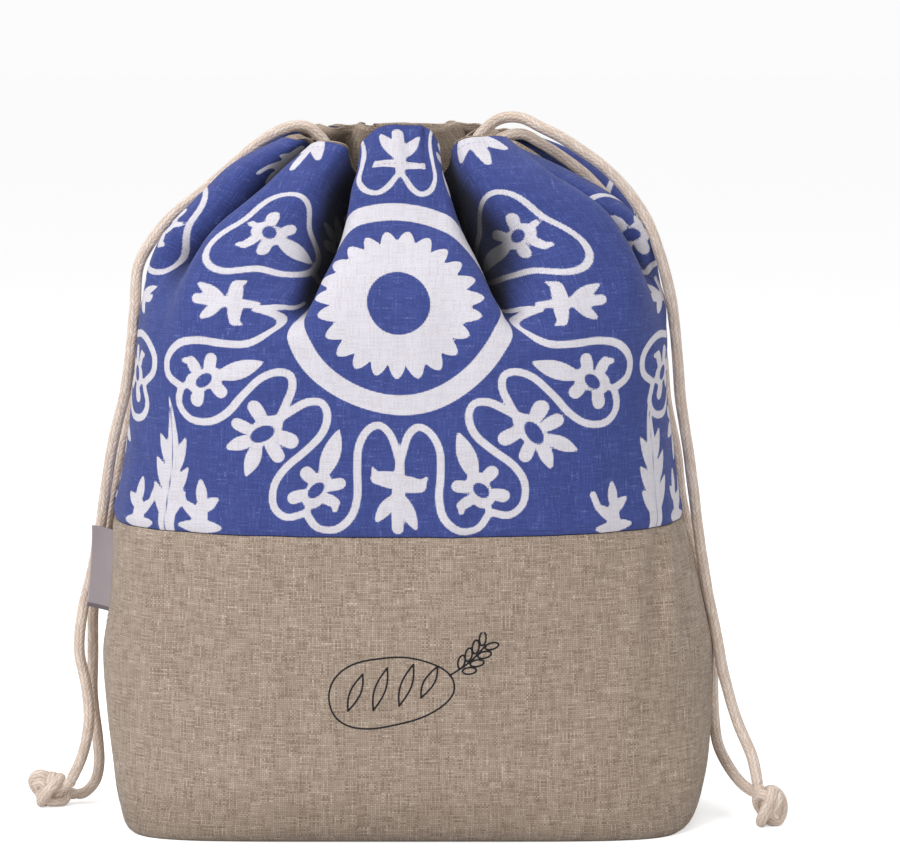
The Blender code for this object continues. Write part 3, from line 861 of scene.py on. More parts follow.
@dataclass(frozen=True)
class Eye:
    """A turned oval of bare ground inside a flower."""

    centre: Pair
    radii: Pair
    turn: float

    def distance(self, x: Array, y: Array) -> Array:
        """Return how far each place lies outside the oval, negative inside."""
        angle = math.radians(self.turn)
        across, along = x - self.centre[0], y - self.centre[1]
        first = (across * math.cos(angle) + along * math.sin(angle)) / self.radii[0]
        second = (along * math.cos(angle) - across * math.sin(angle)) / self.radii[1]
        return (np.hypot(first, second) - 1.0) * min(self.radii)


@dataclass(frozen=True)
class Motif:
    """A flower or sprig: its blobs, and the ovals and veins left bare in it."""

    leaves: tuple[Leaf, ...]
    eyes: tuple[Eye, ...] = ()
    veins: tuple[Leaf, ...] = ()

    def distance(self, x: Array, y: Array) -> Array:
        """Return how far each place lies outside the motif, negative inside."""
        shape = np.full_like(x, FAR)
        for leaf in self.leaves:
            shape = np.minimum(shape, leaf.distance(x, y))
        for bare in (*self.eyes, *self.veins):
            shape = np.maximum(shape, -bare.distance(x, y))
        return shape


# Degrees from the middle of a unit, and reach from the medallion's middle.
GARLAND_BEND = (
    (0.0, 80.0), (1.4, 73.0), (4.2, 65.0), (9.0, 61.5), (13.4, 65.0), (15.2, 74.0),
    (13.2, 86.0), (11.1, 98.0), (11.4, 109.0), (14.6, 118.0), (18.6, 119.5), (22.5, 113.5),
)

TULIP = Motif(leaves(
    (0.0, 77.0, 0.0, 90.0, 1.9, 2.6),
    (-1.0, 89.0, -10.0, 87.5, 4.0, 3.1, 0.5),
    (-10.0, 88.0, -12.6, 82.5, 2.8, 0.5),
    (1.0, 90.0, 9.5, 91.0, 4.0, 3.2, 0.4),
    (9.5, 91.0, 12.8, 86.8, 2.9, 0.7),
    (0.0, 89.0, 0.0, 100.0, 3.0, 2.6),
    (0.0, 100.0, 0.4, 112.5, 2.9, 2.7),
    (-1.6, 97.0, -9.4, 108.5, 1.6, 1.2, 1.7),
    (1.6, 97.0, 8.8, 112.0, 1.8, 0.9, 1.8),
))

ASTER = Motif(
    leaves(
        (0.0, 80.0, -1.0, 96.0, 2.2, 4.4, 2.6),
        (-3.0, 87.0, -11.5, 84.0, 2.0, 3.5, 0.6),
        (3.0, 88.0, 11.0, 85.0, 2.0, 3.8, 0.6),
        (-4.0, 94.0, -11.5, 97.0, 2.4, 3.2, 0.4),
        (4.0, 93.0, 11.8, 95.0, 2.4, 3.4, 0.4),
        (-2.0, 98.0, -6.5, 109.5, 2.2, 1.5, 1.5),
        (2.0, 98.0, 8.5, 113.5, 1.8, 0.6, 2.3),
    ),
    (Eye((-0.5, 92.0), (3.7, 6.6), 14.0),),
)

BLOSSOM = Motif(
    leaves(
        (0.0, 114.0, 0.0, 106.0, 1.5, 1.6),
        (0.0, 105.5, 0.0, 96.0, 5.2, 5.0),
        (-3.0, 98.0, -9.0, 94.0, 2.0, 3.0, 0.5),
        (3.0, 97.0, 8.6, 94.5, 2.0, 3.2, 0.5),
        (-4.0, 103.0, -11.0, 104.0, 1.8, 2.4, 0.8),
        (-11.0, 104.0, -12.4, 107.5, 2.2, 1.2),
        (4.0, 104.0, 9.0, 108.5, 2.0, 3.2, 0.5),
        (0.0, 95.0, 2.6, 69.5, 1.0, 0.3, 3.9),
    ),
    (Eye((0.3, 101.0), (3.2, 4.9), -20.0),),
)

TALL_FERN = Motif(
    leaves(
        (0.0, -6.0, -3.5, 64.0, 4.2, 0.3, 2.4),
        (1.0, 6.0, -10.0, 19.0, 3.0, 0.6, 1.6),
        (-0.5, 16.0, -11.5, 31.0, 3.0, 0.5, 1.8),
        (-1.5, 28.0, -11.0, 45.0, 2.6, 0.5, 1.8),
        (1.0, 10.0, 9.0, 24.0, 3.0, 0.6, 1.4),
        (0.0, 22.0, 8.5, 36.0, 2.8, 0.6, 1.6),
        (-1.0, 33.0, 6.0, 47.0, 2.4, 0.5, 1.6),
    ),
    (),
    leaves((1.0, -6.0, -3.2, 59.0, 0.55, 0.3)),
)

BELL = Motif(leaves(
    (0.0, -8.0, 0.0, 5.0, 6.0, 4.2),
    (0.0, 4.0, 1.0, 20.0, 2.8, 1.5, 0.8),
    (-3.5, 1.0, -9.5, 12.0, 3.0, 1.6, 0.7),
    (3.5, 1.0, 10.0, 9.0, 3.2, 1.8, 0.7),
))

LOW_SPRIG = Motif(leaves(
    (0.0, -5.0, 1.0, 16.0, 3.2, 1.8, 1.6),
    (1.0, 15.0, 0.0, 25.0, 2.0, 1.0, 1.2),
    (0.5, 8.0, -8.0, 14.0, 2.4, 1.5, 0.8),
    (-8.0, 14.0, -10.5, 20.0, 1.7, 1.6),
    (0.5, 3.0, -9.0, 3.5, 2.2, 1.0, 1.0),
    (1.0, 12.0, 8.0, 17.0, 2.2, 1.0, 1.2),
    (1.0, 4.0, 10.0, 4.0, 2.2, 1.2, 1.0),
))


# Degrees over level, reach from the medallion's middle, size and motif.
FLANK_FLOWERS = (
    (0.0, 87.0, 0.76, TULIP), (22.5, 84.5, 0.78, BLOSSOM), (45.0, 67.0, 0.72, ASTER),
)

# Across, foot, motif, and how much its sides and its length are shrunk, less than 0 turned over.
SPRAYS = (
    (134.0, 152.0, TALL_FERN, 1.0, 1.0), (106.0, 152.0, LOW_SPRIG, 1.0, 1.0),
    (-116.0, 152.0, TALL_FERN, -1.1, 1.0), (-134.0, 152.0, LOW_SPRIG, -1.0, 1.0),
    (-98.0, 152.0, LOW_SPRIG, 0.9, 1.0), (159.0, 152.0, LOW_SPRIG, -1.0, 1.0),
    (80.0, 359.0, BELL, 1.15, -1.0), (-83.0, 359.0, BELL, -1.15, -1.0),
    (136.0, 342.0, LOW_SPRIG, 1.2, -1.3), (-128.0, 350.0, LOW_SPRIG, 1.3, -1.3),
)


def line_distance(x: Array, y: Array, line: Array) -> Array:
    """Return how far each place lies from a line of points.

    Args:
        x: Where the places lie across.
        y: Where they lie along.
        line: The line's points.

    Returns:
        The distances.
    """
    nearest = np.full_like(x, FAR)
    for (ax, ay), (bx, by) in zip(line[:-1], line[1:]):
        dx, dy = bx - ax, by - ay
        size = max(dx * dx + dy * dy, 1e-9)
        share = np.clip(((x - ax) * dx + (y - ay) * dy) / size, 0.0, 1.0)
        nearest = np.minimum(nearest, np.hypot(x - ax - share * dx, y - ay - share * dy))
    return nearest


@dataclass(frozen=True)
class MedallionPrint:
    """The folk print: a sunflower in a ring, eight-fold garland with flowers, and ferns."""

    centre_across: float = -3.0
    centre_up: float = 262.0
    squash: float = 0.93
    repeat: float = 238.0
    disc: float = 14.6
    petals: int = 23
    petal_tip: float = 37.0
    petal_cleft: float = 7.2
    ring_radius: float = 49.8
    ring_half: float = 5.1
    line_half: float = 1.8
    fine_half: float = 1.35
    folds: int = 8
    wobble: float = 0.7
    lost_across: float = 11.0
    lost_up: float = 8.0
    beside: Pair = (45.0, 13.0)
    skipped_rows: Pair = (246.0, 18.0)
    lifted_rows: Pair = (245.0, 48.0)
    flare: float = 0.2
    flare_from: float = 12.0
    flared_rows: Pair = (57.0, 12.0)
    crest_half: float = 21.0
    crest_fade: float = 12.0
    crest_drop: float = 14.0
    dropped_rows: Pair = (66.0, 15.0)
    flank_turn: float = 1.73
    flank_from: float = 46.0
    flower_middle: float = 98.0
    clover_reach: float = 20.5
    clover_swell: float = 0.2
    clover_stem: float = 38.5

    def distance(self, u: Array, v: Array) -> Array:
        """Return how far each place of the cloth lies outside the white print.

        Beside the two deep valleys a few millimetres of it are skipped, as if lost in them.

        Args:
            u: Millimetres across the panel from its middle.
            v: Millimetres up the cloth.

        Returns:
            The distance in millimetres, negative inside the white.
        """
        sway = self.wobble * np.sin(v / 11.0 + 1.3 * np.sin(u / 19.0))
        lift = self.wobble * np.sin(u / 13.0 + 1.1 * np.sin(v / 17.0) + 0.7)
        across, up = u + sway - self.centre_across, v + lift
        x = across - np.round(across / self.repeat) * self.repeat
        y = (up - self.centre_up) / self.squash
        out = np.abs(x)
        beside = ease(out, *self.beside)
        y = y + self.lost_up * beside * ease(v, *self.lifted_rows)
        x = x + np.sign(x) * self.lost_across * beside * ease(v, *self.skipped_rows)
        flare = self.flare * np.maximum(out - self.flare_from, 0.0)
        x = x + np.sign(x) * flare * ease(y, *self.flared_rows)
        middle = smooth_step((self.crest_half - out) / self.crest_fade)
        y = y + self.crest_drop * ease(y, *self.dropped_rows) * middle
        flank = (np.abs(np.arctan2(x, -y)) > self.flank_turn) & (out > self.flank_from)
        garland = np.where(flank, FAR, self.garland(x, y))
        shape = np.minimum(self.rosette(x, y), garland)
        shape = np.minimum(shape, self.flank(out, up - self.centre_up))
        for place, foot, motif, lean, way in SPRAYS:
            local = motif.distance((across - place) * lean, (up - foot) * way)
            shape = np.minimum(shape, local)
        return shape

    def rosette(self, x: Array, y: Array) -> Array:
        """Return the distance to the sunflower and its ring."""
        reach = np.hypot(x, y)
        turn = np.arctan2(x, y) * self.petals / (2.0 * np.pi)
        saw = np.abs(2.0 * (turn - np.floor(turn)) - 1.0)
        uneven = 0.9 * np.sin(5.0 * np.arctan2(x, y) + 0.8)
        tip = self.petal_tip + uneven - self.petal_cleft * saw**1.7
        flower = np.maximum(0.85 * (reach - tip), self.disc - reach)
        ring = np.abs(reach - self.ring_radius) - self.ring_half
        return np.minimum(flower, ring)

    def garland(self, x: Array, y: Array) -> Array:
        """Return the distance to the garland's line and its flowers."""
        reach = np.hypot(x, y)
        turn = np.arctan2(x, -y)
        fold = 2.0 * np.pi / self.folds
        number = np.round(turn / fold)
        inside = turn - number * fold
        bend = self.bend_line()
        px, py = reach * np.sin(np.abs(inside)), reach * np.cos(inside)
        finer = smooth_step((y + 14.0) / 40.0)
        shape = line_distance(px, py, bend) - self.line_half
        shape -= (self.fine_half - self.line_half) * finer
        axis_x, axis_y = reach * np.sin(inside), reach * np.cos(inside)
        even = np.mod(number, 2.0) == 0.0
        flowers = np.where(even, TULIP.distance(axis_x, axis_y), ASTER.distance(axis_x, axis_y))
        flowers = np.where(np.abs(number) == 2.0, FAR, flowers)
        shape = np.minimum(shape, flowers)
        half_number = np.floor(turn / fold)
        between = turn - (half_number + 0.5) * fold
        flip = np.where(np.mod(half_number, 2.0) == 0.0, 1.0, -1.0)
        blossom = BLOSSOM.distance(reach * np.sin(between) * flip, reach * np.cos(between))
        return np.minimum(shape, blossom)

    def flank(self, out: Array, up: Array) -> Array:
        """Return the distance to the flank's flowers, the middle one in a clover loop."""
        shape = np.full_like(out, FAR)
        for rise, reach, size, motif in FLANK_FLOWERS:
            aim = math.radians(rise)
            along = out * math.cos(aim) + up * math.sin(aim) - reach
            aside = up * math.cos(aim) - out * math.sin(aim)
            flower = size * motif.distance(aside / size, self.flower_middle + along / size)
            shape = np.minimum(shape, flower)
            if motif is BLOSSOM:
                loop = line_distance(along, aside, self.clover_line()) - self.fine_half
                shape = np.minimum(shape, loop)
        return shape

    def clover_line(self) -> Array:
        """Return a clover-shaped loop about its own middle, with its stem to the ring."""
        angle = np.linspace(-np.pi, np.pi, 49)
        reach = self.clover_reach * (1.0 - self.clover_swell * np.cos(3.0 * angle))
        loop = np.column_stack((reach * np.cos(angle), reach * np.sin(angle)))
        return np.vstack(((-self.clover_stem, 0.0), loop))

    @staticmethod
    def bend_line() -> Array:
        """Return the garland's half bend as a smooth line of points."""
        knots = np.array(GARLAND_BEND)
        angle = np.radians(knots[:, 0])
        line = np.column_stack((knots[:, 1] * np.sin(angle), knots[:, 1] * np.cos(angle)))
        return smooth_line(line, 3)


def smooth_line(knots: Array, fineness: int) -> Array:
    """Return points on a smooth curve through the knots, fineness to each stretch."""
    ends = np.vstack((2 * knots[0] - knots[1], knots, 2 * knots[-1] - knots[-2]))
    times = running(np.sqrt(np.linalg.norm(np.diff(ends, axis=0), axis=1)))
    fine = []
    for index in range(1, len(ends) - 2):
        t0, t1, t2, t3 = times[index - 1:index + 3]
        p0, p1, p2, p3 = ends[index - 1:index + 3]
        for t in np.linspace(t1, t2, fineness, endpoint=False):
            a1 = p0 * (t1 - t) / (t1 - t0) + p1 * (t - t0) / (t1 - t0)
            a2 = p1 * (t2 - t) / (t2 - t1) + p2 * (t - t1) / (t2 - t1)
            a3 = p2 * (t3 - t) / (t3 - t2) + p3 * (t - t2) / (t3 - t2)
            b1 = a1 * (t2 - t) / (t2 - t0) + a2 * (t - t0) / (t2 - t0)
            b2 = a2 * (t3 - t) / (t3 - t1) + a3 * (t - t1) / (t3 - t1)
            fine.append(b1 * (t2 - t) / (t2 - t1) + b2 * (t - t1) / (t2 - t1))
    fine.append(knots[-1])
    return np.array(fine)


def even_line(points: Array, step: float) -> Array:
    """Return points at even steps along a line of points."""
    run = running(np.linalg.norm(np.diff(points, axis=0), axis=1))
    wanted = np.linspace(0.0, run[-1], int(round(run[-1] / step)) + 1)
    return np.column_stack([np.interp(wanted, run, column) for column in points.T])


@dataclass(frozen=True)
class BakeryDrawing:
    """The line drawing on the lower panel: a slashed loaf with an ear of wheat behind it."""

    centre: Pair = (-6.5, 78.0)
    half_length: float = 30.0
    half_height: float = 16.5
    line_half: float = 0.38

    def strokes(self) -> list[Array]:
        """Return the drawing's strokes as lines of points on the cloth, in mm."""
        turn = np.linspace(0.0, 2.0 * np.pi, 61)
        tilt = math.radians(9.0)
        x = self.half_length * np.sign(np.cos(turn)) * np.abs(np.cos(turn)) ** 0.86
        y = self.half_height * np.sign(np.sin(turn)) * np.abs(np.sin(turn)) ** 0.92
        y = y - 1.6 * np.sin(turn * 2.0 + 0.4)
        loaf = self.turned(np.column_stack((x, y)), tilt)
        lines = [loaf]
        for place, reach in ((-17.0, 8.4), (-5.0, 9.8), (7.5, 9.6), (18.5, 7.0)):
            along = np.linspace(-1.0, 1.0, 15)
            for side in (-1.0, 1.0):
                slash = np.column_stack((
                    place + 5.0 * along + side * 2.5 * np.cos(0.5 * np.pi * along),
                    2.5 + reach * along - side * 0.6 * np.cos(0.5 * np.pi * along),
                ))
                lines.append(self.turned(slash, tilt))
        lines.append(smooth_line(np.array(((21.0, 86.3), (30.0, 92.5), (38.5, 101.0))), 6))
        for index in range(4):
            base = np.array((27.0 + 3.6 * index, 89.6 + 3.2 * index + 0.3 * index**1.5))
            for side in (-1.0, 1.0):
                angle = math.radians(40.0 + 3.0 * index) + side * 0.62
                way = np.array((math.cos(angle), math.sin(angle)))
                across = np.array((-way[1], way[0]))
                grain = 0.5 * (1.0 - np.cos(turn[::3]))
                belly = 1.6 * np.sin(turn[::3])
                centre = base + side * 1.2 * across
                lines.append(centre + np.outer(grain * 6.6, way) + np.outer(belly, across))
        return lines

    def turned(self, line: Array, tilt: float) -> Array:
        """Turn a line about the loaf's middle and move it to its place."""
        turn = np.array(((math.cos(tilt), math.sin(tilt)), (-math.sin(tilt), math.cos(tilt))))
        return line @ turn + self.centre

    def distance(self, u: Array, v: Array) -> Array:
        """Return how far each place lies outside the ink, negative inside."""
        shape = np.full_like(u, FAR)
        near = (np.abs(u) < 60.0) & (np.abs(v - 80.0) < 40.0)
        x, y = u[near], v[near]
        local = np.full_like(x, FAR)
        for stroke in self.strokes():
            local = np.minimum(local, line_distance(x, y, stroke))
        shape[near] = local - self.line_half
        return shape


@dataclass
class Wiring:
    """Adds shader nodes to one tree and joins them."""

    tree: NodeTree
    column: int = 0

    def add(self, kind: str, **values: object) -> Node:
        """Add a node and set its named properties."""
        node = self.tree.nodes.new(kind)
        node.location = (180.0 * (self.column % 12), -240.0 * (self.column // 12))
        self.column += 1
        for name, value in values.items():
            setattr(node, name, value)
        return node

    def feed(self, socket: Socket, value: object) -> None:
        """Link another socket into this one, or set its plain value or linear colour."""
        if isinstance(value, Socket):
            self.tree.links.new(value, socket)
        else:
            socket.default_value = (*value, 1.0) if socket.type == "RGBA" else value

    def math(
        self, operation: str, first: object, second: object = 0.0, third: object = 0.0
    ) -> Socket:
        """Return the result of a Math node."""
        node = self.add("ShaderNodeMath", operation=operation)
        for socket, value in zip(node.inputs, (first, second, third)):
            self.feed(socket, value)
        return node.outputs[0]

    def times(self, first: object, second: object) -> Socket:
        """Return a product."""
        return self.math("MULTIPLY", first, second)

    def times_add(self, first: object, second: object, third: object) -> Socket:
        """Return a product plus a third value."""
        return self.math("MULTIPLY_ADD", first, second, third)

    def less_half(self, value: object) -> Socket:
        """Return a value less a half."""
        return self.math("SUBTRACT", value, 0.5)

    def scaled(self, vector: object, factor: object) -> Socket:
        """Return a vector or a colour times a factor."""
        node = self.add("ShaderNodeVectorMath", operation="SCALE")
        self.feed(node.inputs[0], vector)
        self.feed(node.inputs["Scale"], factor)
        return node.outputs[0]

    def spread(
        self, value: object, low: object, high: object, start: float = 0.0, end: float = 1.0
    ) -> Socket:
        """Return value eased from low..high to start..end."""
        node = self.add("ShaderNodeMapRange", interpolation_type="SMOOTHSTEP")
        for name, given in (
            ("Value", value), ("From Min", low), ("From Max", high), ("To Min", start),
            ("To Max", end),
        ):
            self.feed(node.inputs[name], given)
        return node.outputs["Result"]

    def noise(
        self, vector: object, scale: float, detail: float = 2.0, rough: float = 0.5
    ) -> Socket:
        """Return the value of a noise texture."""
        node = self.add("ShaderNodeTexNoise")
        self.feed(node.inputs["Vector"], vector)
        node.inputs["Scale"].default_value = scale
        node.inputs["Detail"].default_value = detail
        node.inputs["Roughness"].default_value = rough
        return node.outputs["Fac"]

    def cell_noise(self, vector: object) -> Socket:
        """Return one random number for each whole-numbered place."""
        node = self.add("ShaderNodeTexWhiteNoise", noise_dimensions="3D")
        self.feed(node.inputs["Vector"], vector)
        return node.outputs["Value"]

    def vector(self, x: object, y: object, z: object = 0.0) -> Socket:
        """Return a vector of three values."""
        node = self.add("ShaderNodeCombineXYZ")
        for socket, value in zip(node.inputs, (x, y, z)):
            self.feed(socket, value)
        return node.outputs[0]

    def split(self, vector: object) -> tuple[Socket, ...]:
        """Return the three values of a vector."""
        node = self.add("ShaderNodeSeparateXYZ")
        self.feed(node.inputs[0], vector)
        return tuple(node.outputs)

    def mix(self, share: object, first: object, second: object) -> Socket:
        """Return a colour between two colours."""
        node = self.add("ShaderNodeMix", data_type="RGBA")
        self.feed(node.inputs[0], share)
        self.feed(node.inputs[6], first)
        self.feed(node.inputs[7], second)
        return node.outputs[2]

    def attribute(self, name: str) -> Socket:
        """Return the value of a point attribute."""
        return self.add("ShaderNodeAttribute", attribute_name=name).outputs["Fac"]

    def cloth_map(self) -> Socket:
        """Return the piece's own cloth map."""
        return self.add("ShaderNodeUVMap", uv_map=CLOTH_MAP).outputs["UV"]


class GroupWiring(Wiring):
    """The wiring of a shader group, from its named inputs to its named outputs."""

    def __init__(
        self, name: str, inputs: dict[str, float | None], outputs: tuple[str, ...]
    ) -> None:
        """Make an empty group.

        Args:
            name: The group's name.
            inputs: Default of each input, None for a vector.
            outputs: Names of the outputs, each a value.
        """
        super().__init__(bpy.data.node_groups.new(name, "ShaderNodeTree"))
        face = self.tree.interface
        for label, default in inputs.items():
            kind = "NodeSocketVector" if default is None else "NodeSocketFloat"
            socket = face.new_socket(label, in_out="INPUT", socket_type=kind)
            if default is not None:
                socket.default_value = default
        for label in outputs:
            face.new_socket(label, in_out="OUTPUT", socket_type="NodeSocketFloat")
        self.source, self.result = self.add("NodeGroupInput"), self.add("NodeGroupOutput")

    def given(self, name: str) -> Socket:
        """Return the value of an input."""
        return self.source.outputs[name]

    def give(self, **values: Socket) -> NodeTree:
        """Feed the outputs and return the finished group."""
        for name, value in values.items():
            self.feed(self.result.inputs[name], value)
        return self.tree


class ClothGroups:
    """The shader groups that the finishes share: weave, mottling, braid and lint."""

    def __init__(self) -> None:
        """Build each group once."""
        self.weave = self.make_weave()
        self.mottle = self.make_mottle()
        self.braid = self.make_braid()
        self.lint = self.make_lint()

    @staticmethod
    def make_weave() -> NodeTree:
        """Return the plain weave, its threads' heights and tones and its thick places."""
        w = GroupWiring(
            "plain_weave", {"Map": None, "Pitch": 1.0, "Waver": 0.2, "Slub": 0.5},
            ("Height", "Tone", "Thick"),
        )
        waver, slub = w.given("Waver"), w.given("Slub")
        x, y, _ = w.split(w.scaled(w.given("Map"), w.math("DIVIDE", 1000.0, w.given("Pitch"))))
        slow_x = w.noise(w.vector(w.times(x, 0.045), w.times(y, 0.011)), 1.0)
        slow_y = w.noise(w.vector(w.times(x, 0.011), w.times(y, 0.045), 7.0), 1.0)
        fast = w.noise(w.vector(x, y, 3.0), 0.33, 1.0)
        bend_x = w.times_add(w.less_half(slow_x), 8.0, fast)
        bend_y = w.times_add(w.less_half(slow_y), 8.0, fast)
        x, y = w.times_add(bend_x, waver, x), w.times_add(bend_y, waver, y)
        column, row = w.math("FLOOR", x), w.math("FLOOR", y)
        warp_run = w.noise(w.vector(w.times(column, 5.37), w.times(y, 0.13)), 1.0, 1.0)
        weft_run = w.noise(w.vector(w.times(x, 0.13), w.times(row, 5.37), 11.0), 1.0, 1.0)
        warp_thick, weft_thick = w.spread(warp_run, 0.60, 0.84), w.spread(weft_run, 0.60, 0.84)

        def thread(place: object, other: object, own: object, thick: object) -> object:
            """Return the height of one set of threads."""
            wide = w.times_add(w.times(thick, slub), -0.5, 1.0)
            side = w.times(w.less_half(w.math("FRACT", place)), math.pi)
            arch = w.math("COSINE", w.times(side, wide))
            turn = w.times(w.math("ADD", other, own), math.pi)
            over = w.times_add(w.math("SINE", turn), 0.42, 0.58)
            return w.times(arch, w.times_add(w.times(thick, slub), 0.35, over))

        warp = thread(x, y, column, warp_thick)
        weft = thread(y, x, w.math("ADD", row, 1.0), weft_thick)
        warp_tone = w.cell_noise(w.vector(column, w.math("FLOOR", w.times(y, 0.16))))
        weft_tone = w.cell_noise(w.vector(w.math("FLOOR", w.times(x, 0.16)), row, 5.0))
        blend = w.add("ShaderNodeMix", data_type="FLOAT")
        w.feed(blend.inputs[0], w.math("GREATER_THAN", warp, weft))
        w.feed(blend.inputs[2], w.times_add(w.less_half(weft_run), 1.2, weft_tone))
        w.feed(blend.inputs[3], w.times_add(w.less_half(warp_run), 1.2, warp_tone))
        return w.give(
            Height=w.math("MAXIMUM", warp, weft), Tone=blend.outputs[0],
            Thick=w.times(w.math("MAXIMUM", warp_thick, weft_thick), slub),
        )

    @staticmethod
    def make_mottle() -> NodeTree:
        """Return the broad unevenness of a dyed or washed cloth."""
        w = GroupWiring("cloth_mottle", {"Place": None, "Amount": 0.1}, ("Light",))
        broad = w.noise(w.given("Place"), 18.0, 3.0, 0.55)
        close = w.noise(w.given("Place"), 140.0, 2.0, 0.6)
        cloud = w.less_half(w.times_add(close, 0.4, w.times(broad, 0.6)))
        return w.give(Light=w.times_add(w.times(cloud, w.given("Amount")), 2.0, 1.0))

    @staticmethod
    def make_braid() -> NodeTree:
        """Return the plaits of a round braid from a map of turn and length."""
        w = GroupWiring(
            "round_braid", {"Map": None, "Strands": 8.0, "Pitch": 3.0},
            ("Height", "Groove", "Tone"),
        )
        x, y, _ = w.split(w.given("Map"))
        around = w.times(x, w.given("Strands"))
        along = w.math("DIVIDE", w.times(y, 1000.0), w.given("Pitch"))
        drift = w.noise(w.vector(w.times(along, 0.13), 0.0, 0.0), 1.0, 1.0)
        around = w.times_add(drift, 2.2, around)
        strand = w.math("FLOOR", around)
        across = w.less_half(w.math("FRACT", around))
        odd = w.math("FLOORED_MODULO", strand, 2.0)
        slant = w.times(w.times(across, w.times_add(odd, 2.0, -1.0)), 0.9)
        run = w.math("ADD", w.math("ADD", along, slant), w.times(odd, 0.5))
        plait = w.less_half(w.math("FRACT", run))
        round_across = w.math("COSINE", w.times(across, 0.86 * math.pi))
        round_along = w.math("COSINE", w.times(plait, 0.88 * math.pi))
        height = w.times(w.math("SQRT", round_across), w.math("SQRT", round_along))
        tone = w.cell_noise(w.vector(strand, w.math("FLOOR", run), 2.0))
        return w.give(Height=height, Groove=w.spread(height, 0.72, 0.36), Tone=tone)

    @staticmethod
    def make_lint() -> NodeTree:
        """Return the fine fuzz that stands on soft yarn."""
        w = GroupWiring("yarn_lint", {"Place": None, "Size": 1.0}, ("Height", "Fleck"))
        place = w.scaled(w.given("Place"), w.math("DIVIDE", 1000.0, w.given("Size")))
        fleck = w.noise(place, 0.55, 2.0, 0.5)
        return w.give(Height=w.noise(place, 1.6, 4.0, 0.7), Fleck=w.spread(fleck, 0.6, 0.78))


@dataclass
class Surface:
    """A material being made: its wiring and the few nodes that every finish has."""

    name: str
    sheen: float
    groups: ClothGroups
    wiring: Wiring = field(init=False)
    material: Material = field(init=False)
    shader: Node = field(init=False)

    def __post_init__(self) -> None:
        """Start the material with its Principled shader and its steady values."""
        self.material = bpy.data.materials.new(self.name)
        self.material.use_nodes = True
        self.wiring = Wiring(self.material.node_tree)
        self.shader = self.material.node_tree.nodes["Principled BSDF"]
        for name, value in (
            ("Metallic", 0.0), ("Sheen Weight", self.sheen), ("Sheen Roughness", 0.5),
            ("Specular IOR Level", 0.25),
        ):
            self.shader.inputs[name].default_value = value

    def group(self, tree: NodeTree, **values: object) -> tuple[Socket, ...]:
        """Place a shader group with its own values and return its outputs."""
        node = self.wiring.add("ShaderNodeGroup", node_tree=tree)
        for name, value in values.items():
            self.wiring.feed(node.inputs[name], value)
        return tuple(node.outputs)

    def weave(self, pitch: float, waver: float, slub: float) -> tuple[Socket, ...]:
        """Return the height, the tone and the thick places of a plain weave."""
        place = self.wiring.cloth_map()
        return self.group(self.groups.weave, Map=place, Pitch=pitch, Waver=waver, Slub=slub)

    def mottle(self, amount: float) -> Socket:
        """Return the light of the cloth's broad unevenness."""
        return self.group(self.groups.mottle, Place=self.place(), Amount=amount)[0]

    def lint(self, size: float) -> tuple[Socket, ...]:
        """Return the height of the yarn's fuzz and its flecks."""
        return self.group(self.groups.lint, Place=self.place(), Size=size)

    def place(self) -> Socket:
        """Return the object's own coordinates."""
        return self.wiring.add("ShaderNodeTexCoord").outputs["Object"]

    def shaded(self, yarn: object, light: object, depth: float) -> Socket:
        """Return a yarn's colour under its mottling, with shade painted darker in the folds by
        depth.
        """
        fold = self.wiring.times_add(self.wiring.attribute(FOLD_SHADE), -depth, 1.0)
        return self.wiring.scaled(yarn, self.wiring.times(light, fold))

    def finish(
        self, base: Socket, rough: Socket, heights: tuple[tuple[Socket, float], ...]
    ) -> Material:
        """Join colour, roughness and the bumps, each a height and its size in mm."""
        self.wiring.feed(self.shader.inputs["Base Color"], base)
        self.wiring.feed(self.shader.inputs["Roughness"], rough)
        normal = None
        for height, size in heights:
            bump = self.wiring.add("ShaderNodeBump")
            bump.inputs["Strength"].default_value = 1.0
            bump.inputs["Distance"].default_value = size * MM
            self.wiring.feed(bump.inputs["Height"], height)
            if normal is not None:
                self.wiring.feed(bump.inputs["Normal"], normal)
            normal = bump.outputs["Normal"]
        self.wiring.feed(self.shader.inputs["Normal"], normal)
        return self.material


@dataclass(frozen=True)
class NaturalLinen:
    """Undyed slubby linen, with black line ink where the drawing is."""

    pitch: float = 0.92
    dark: Triple = (0.210, 0.155, 0.115)
    middle: Triple = (0.405, 0.318, 0.250)
    light: Triple = (0.60, 0.50, 0.415)
    ink: Triple = (0.010, 0.010, 0.014)
    # strength of the shade painted into the folds
    fold_shade_strength: float = 0.9

    def make(self, groups: ClothGroups) -> Material:
        """Build the material."""
        made = Surface("natural_linen", 0.12, groups)
        w = made.wiring
        height, tone, thick = made.weave(self.pitch, 0.16, 0.9)
        fuzz, _ = made.lint(0.5)
        yarn = w.mix(w.spread(tone, -0.35, 0.55), self.dark, self.middle)
        yarn = w.mix(w.spread(tone, 0.45, 1.55), yarn, self.light)
        # painted shade: the weave's low places are darkened towards the dark yarn colour
        yarn = w.mix(w.times(w.spread(height, 0.72, 0.30), 0.55), yarn, self.dark)
        yarn = w.mix(w.times(thick, 0.22), yarn, self.light)
        shade = made.shaded(yarn, made.mottle(0.10), self.fold_shade_strength)
        ragged = w.times_add(fuzz, 0.3, w.attribute(INK_LINE))
        base = w.mix(w.spread(ragged, 0.38, 0.06), shade, self.ink)
        return made.finish(base, w.times_add(fuzz, 0.12, 0.82), ((height, 0.22), (fuzz, 0.05)))


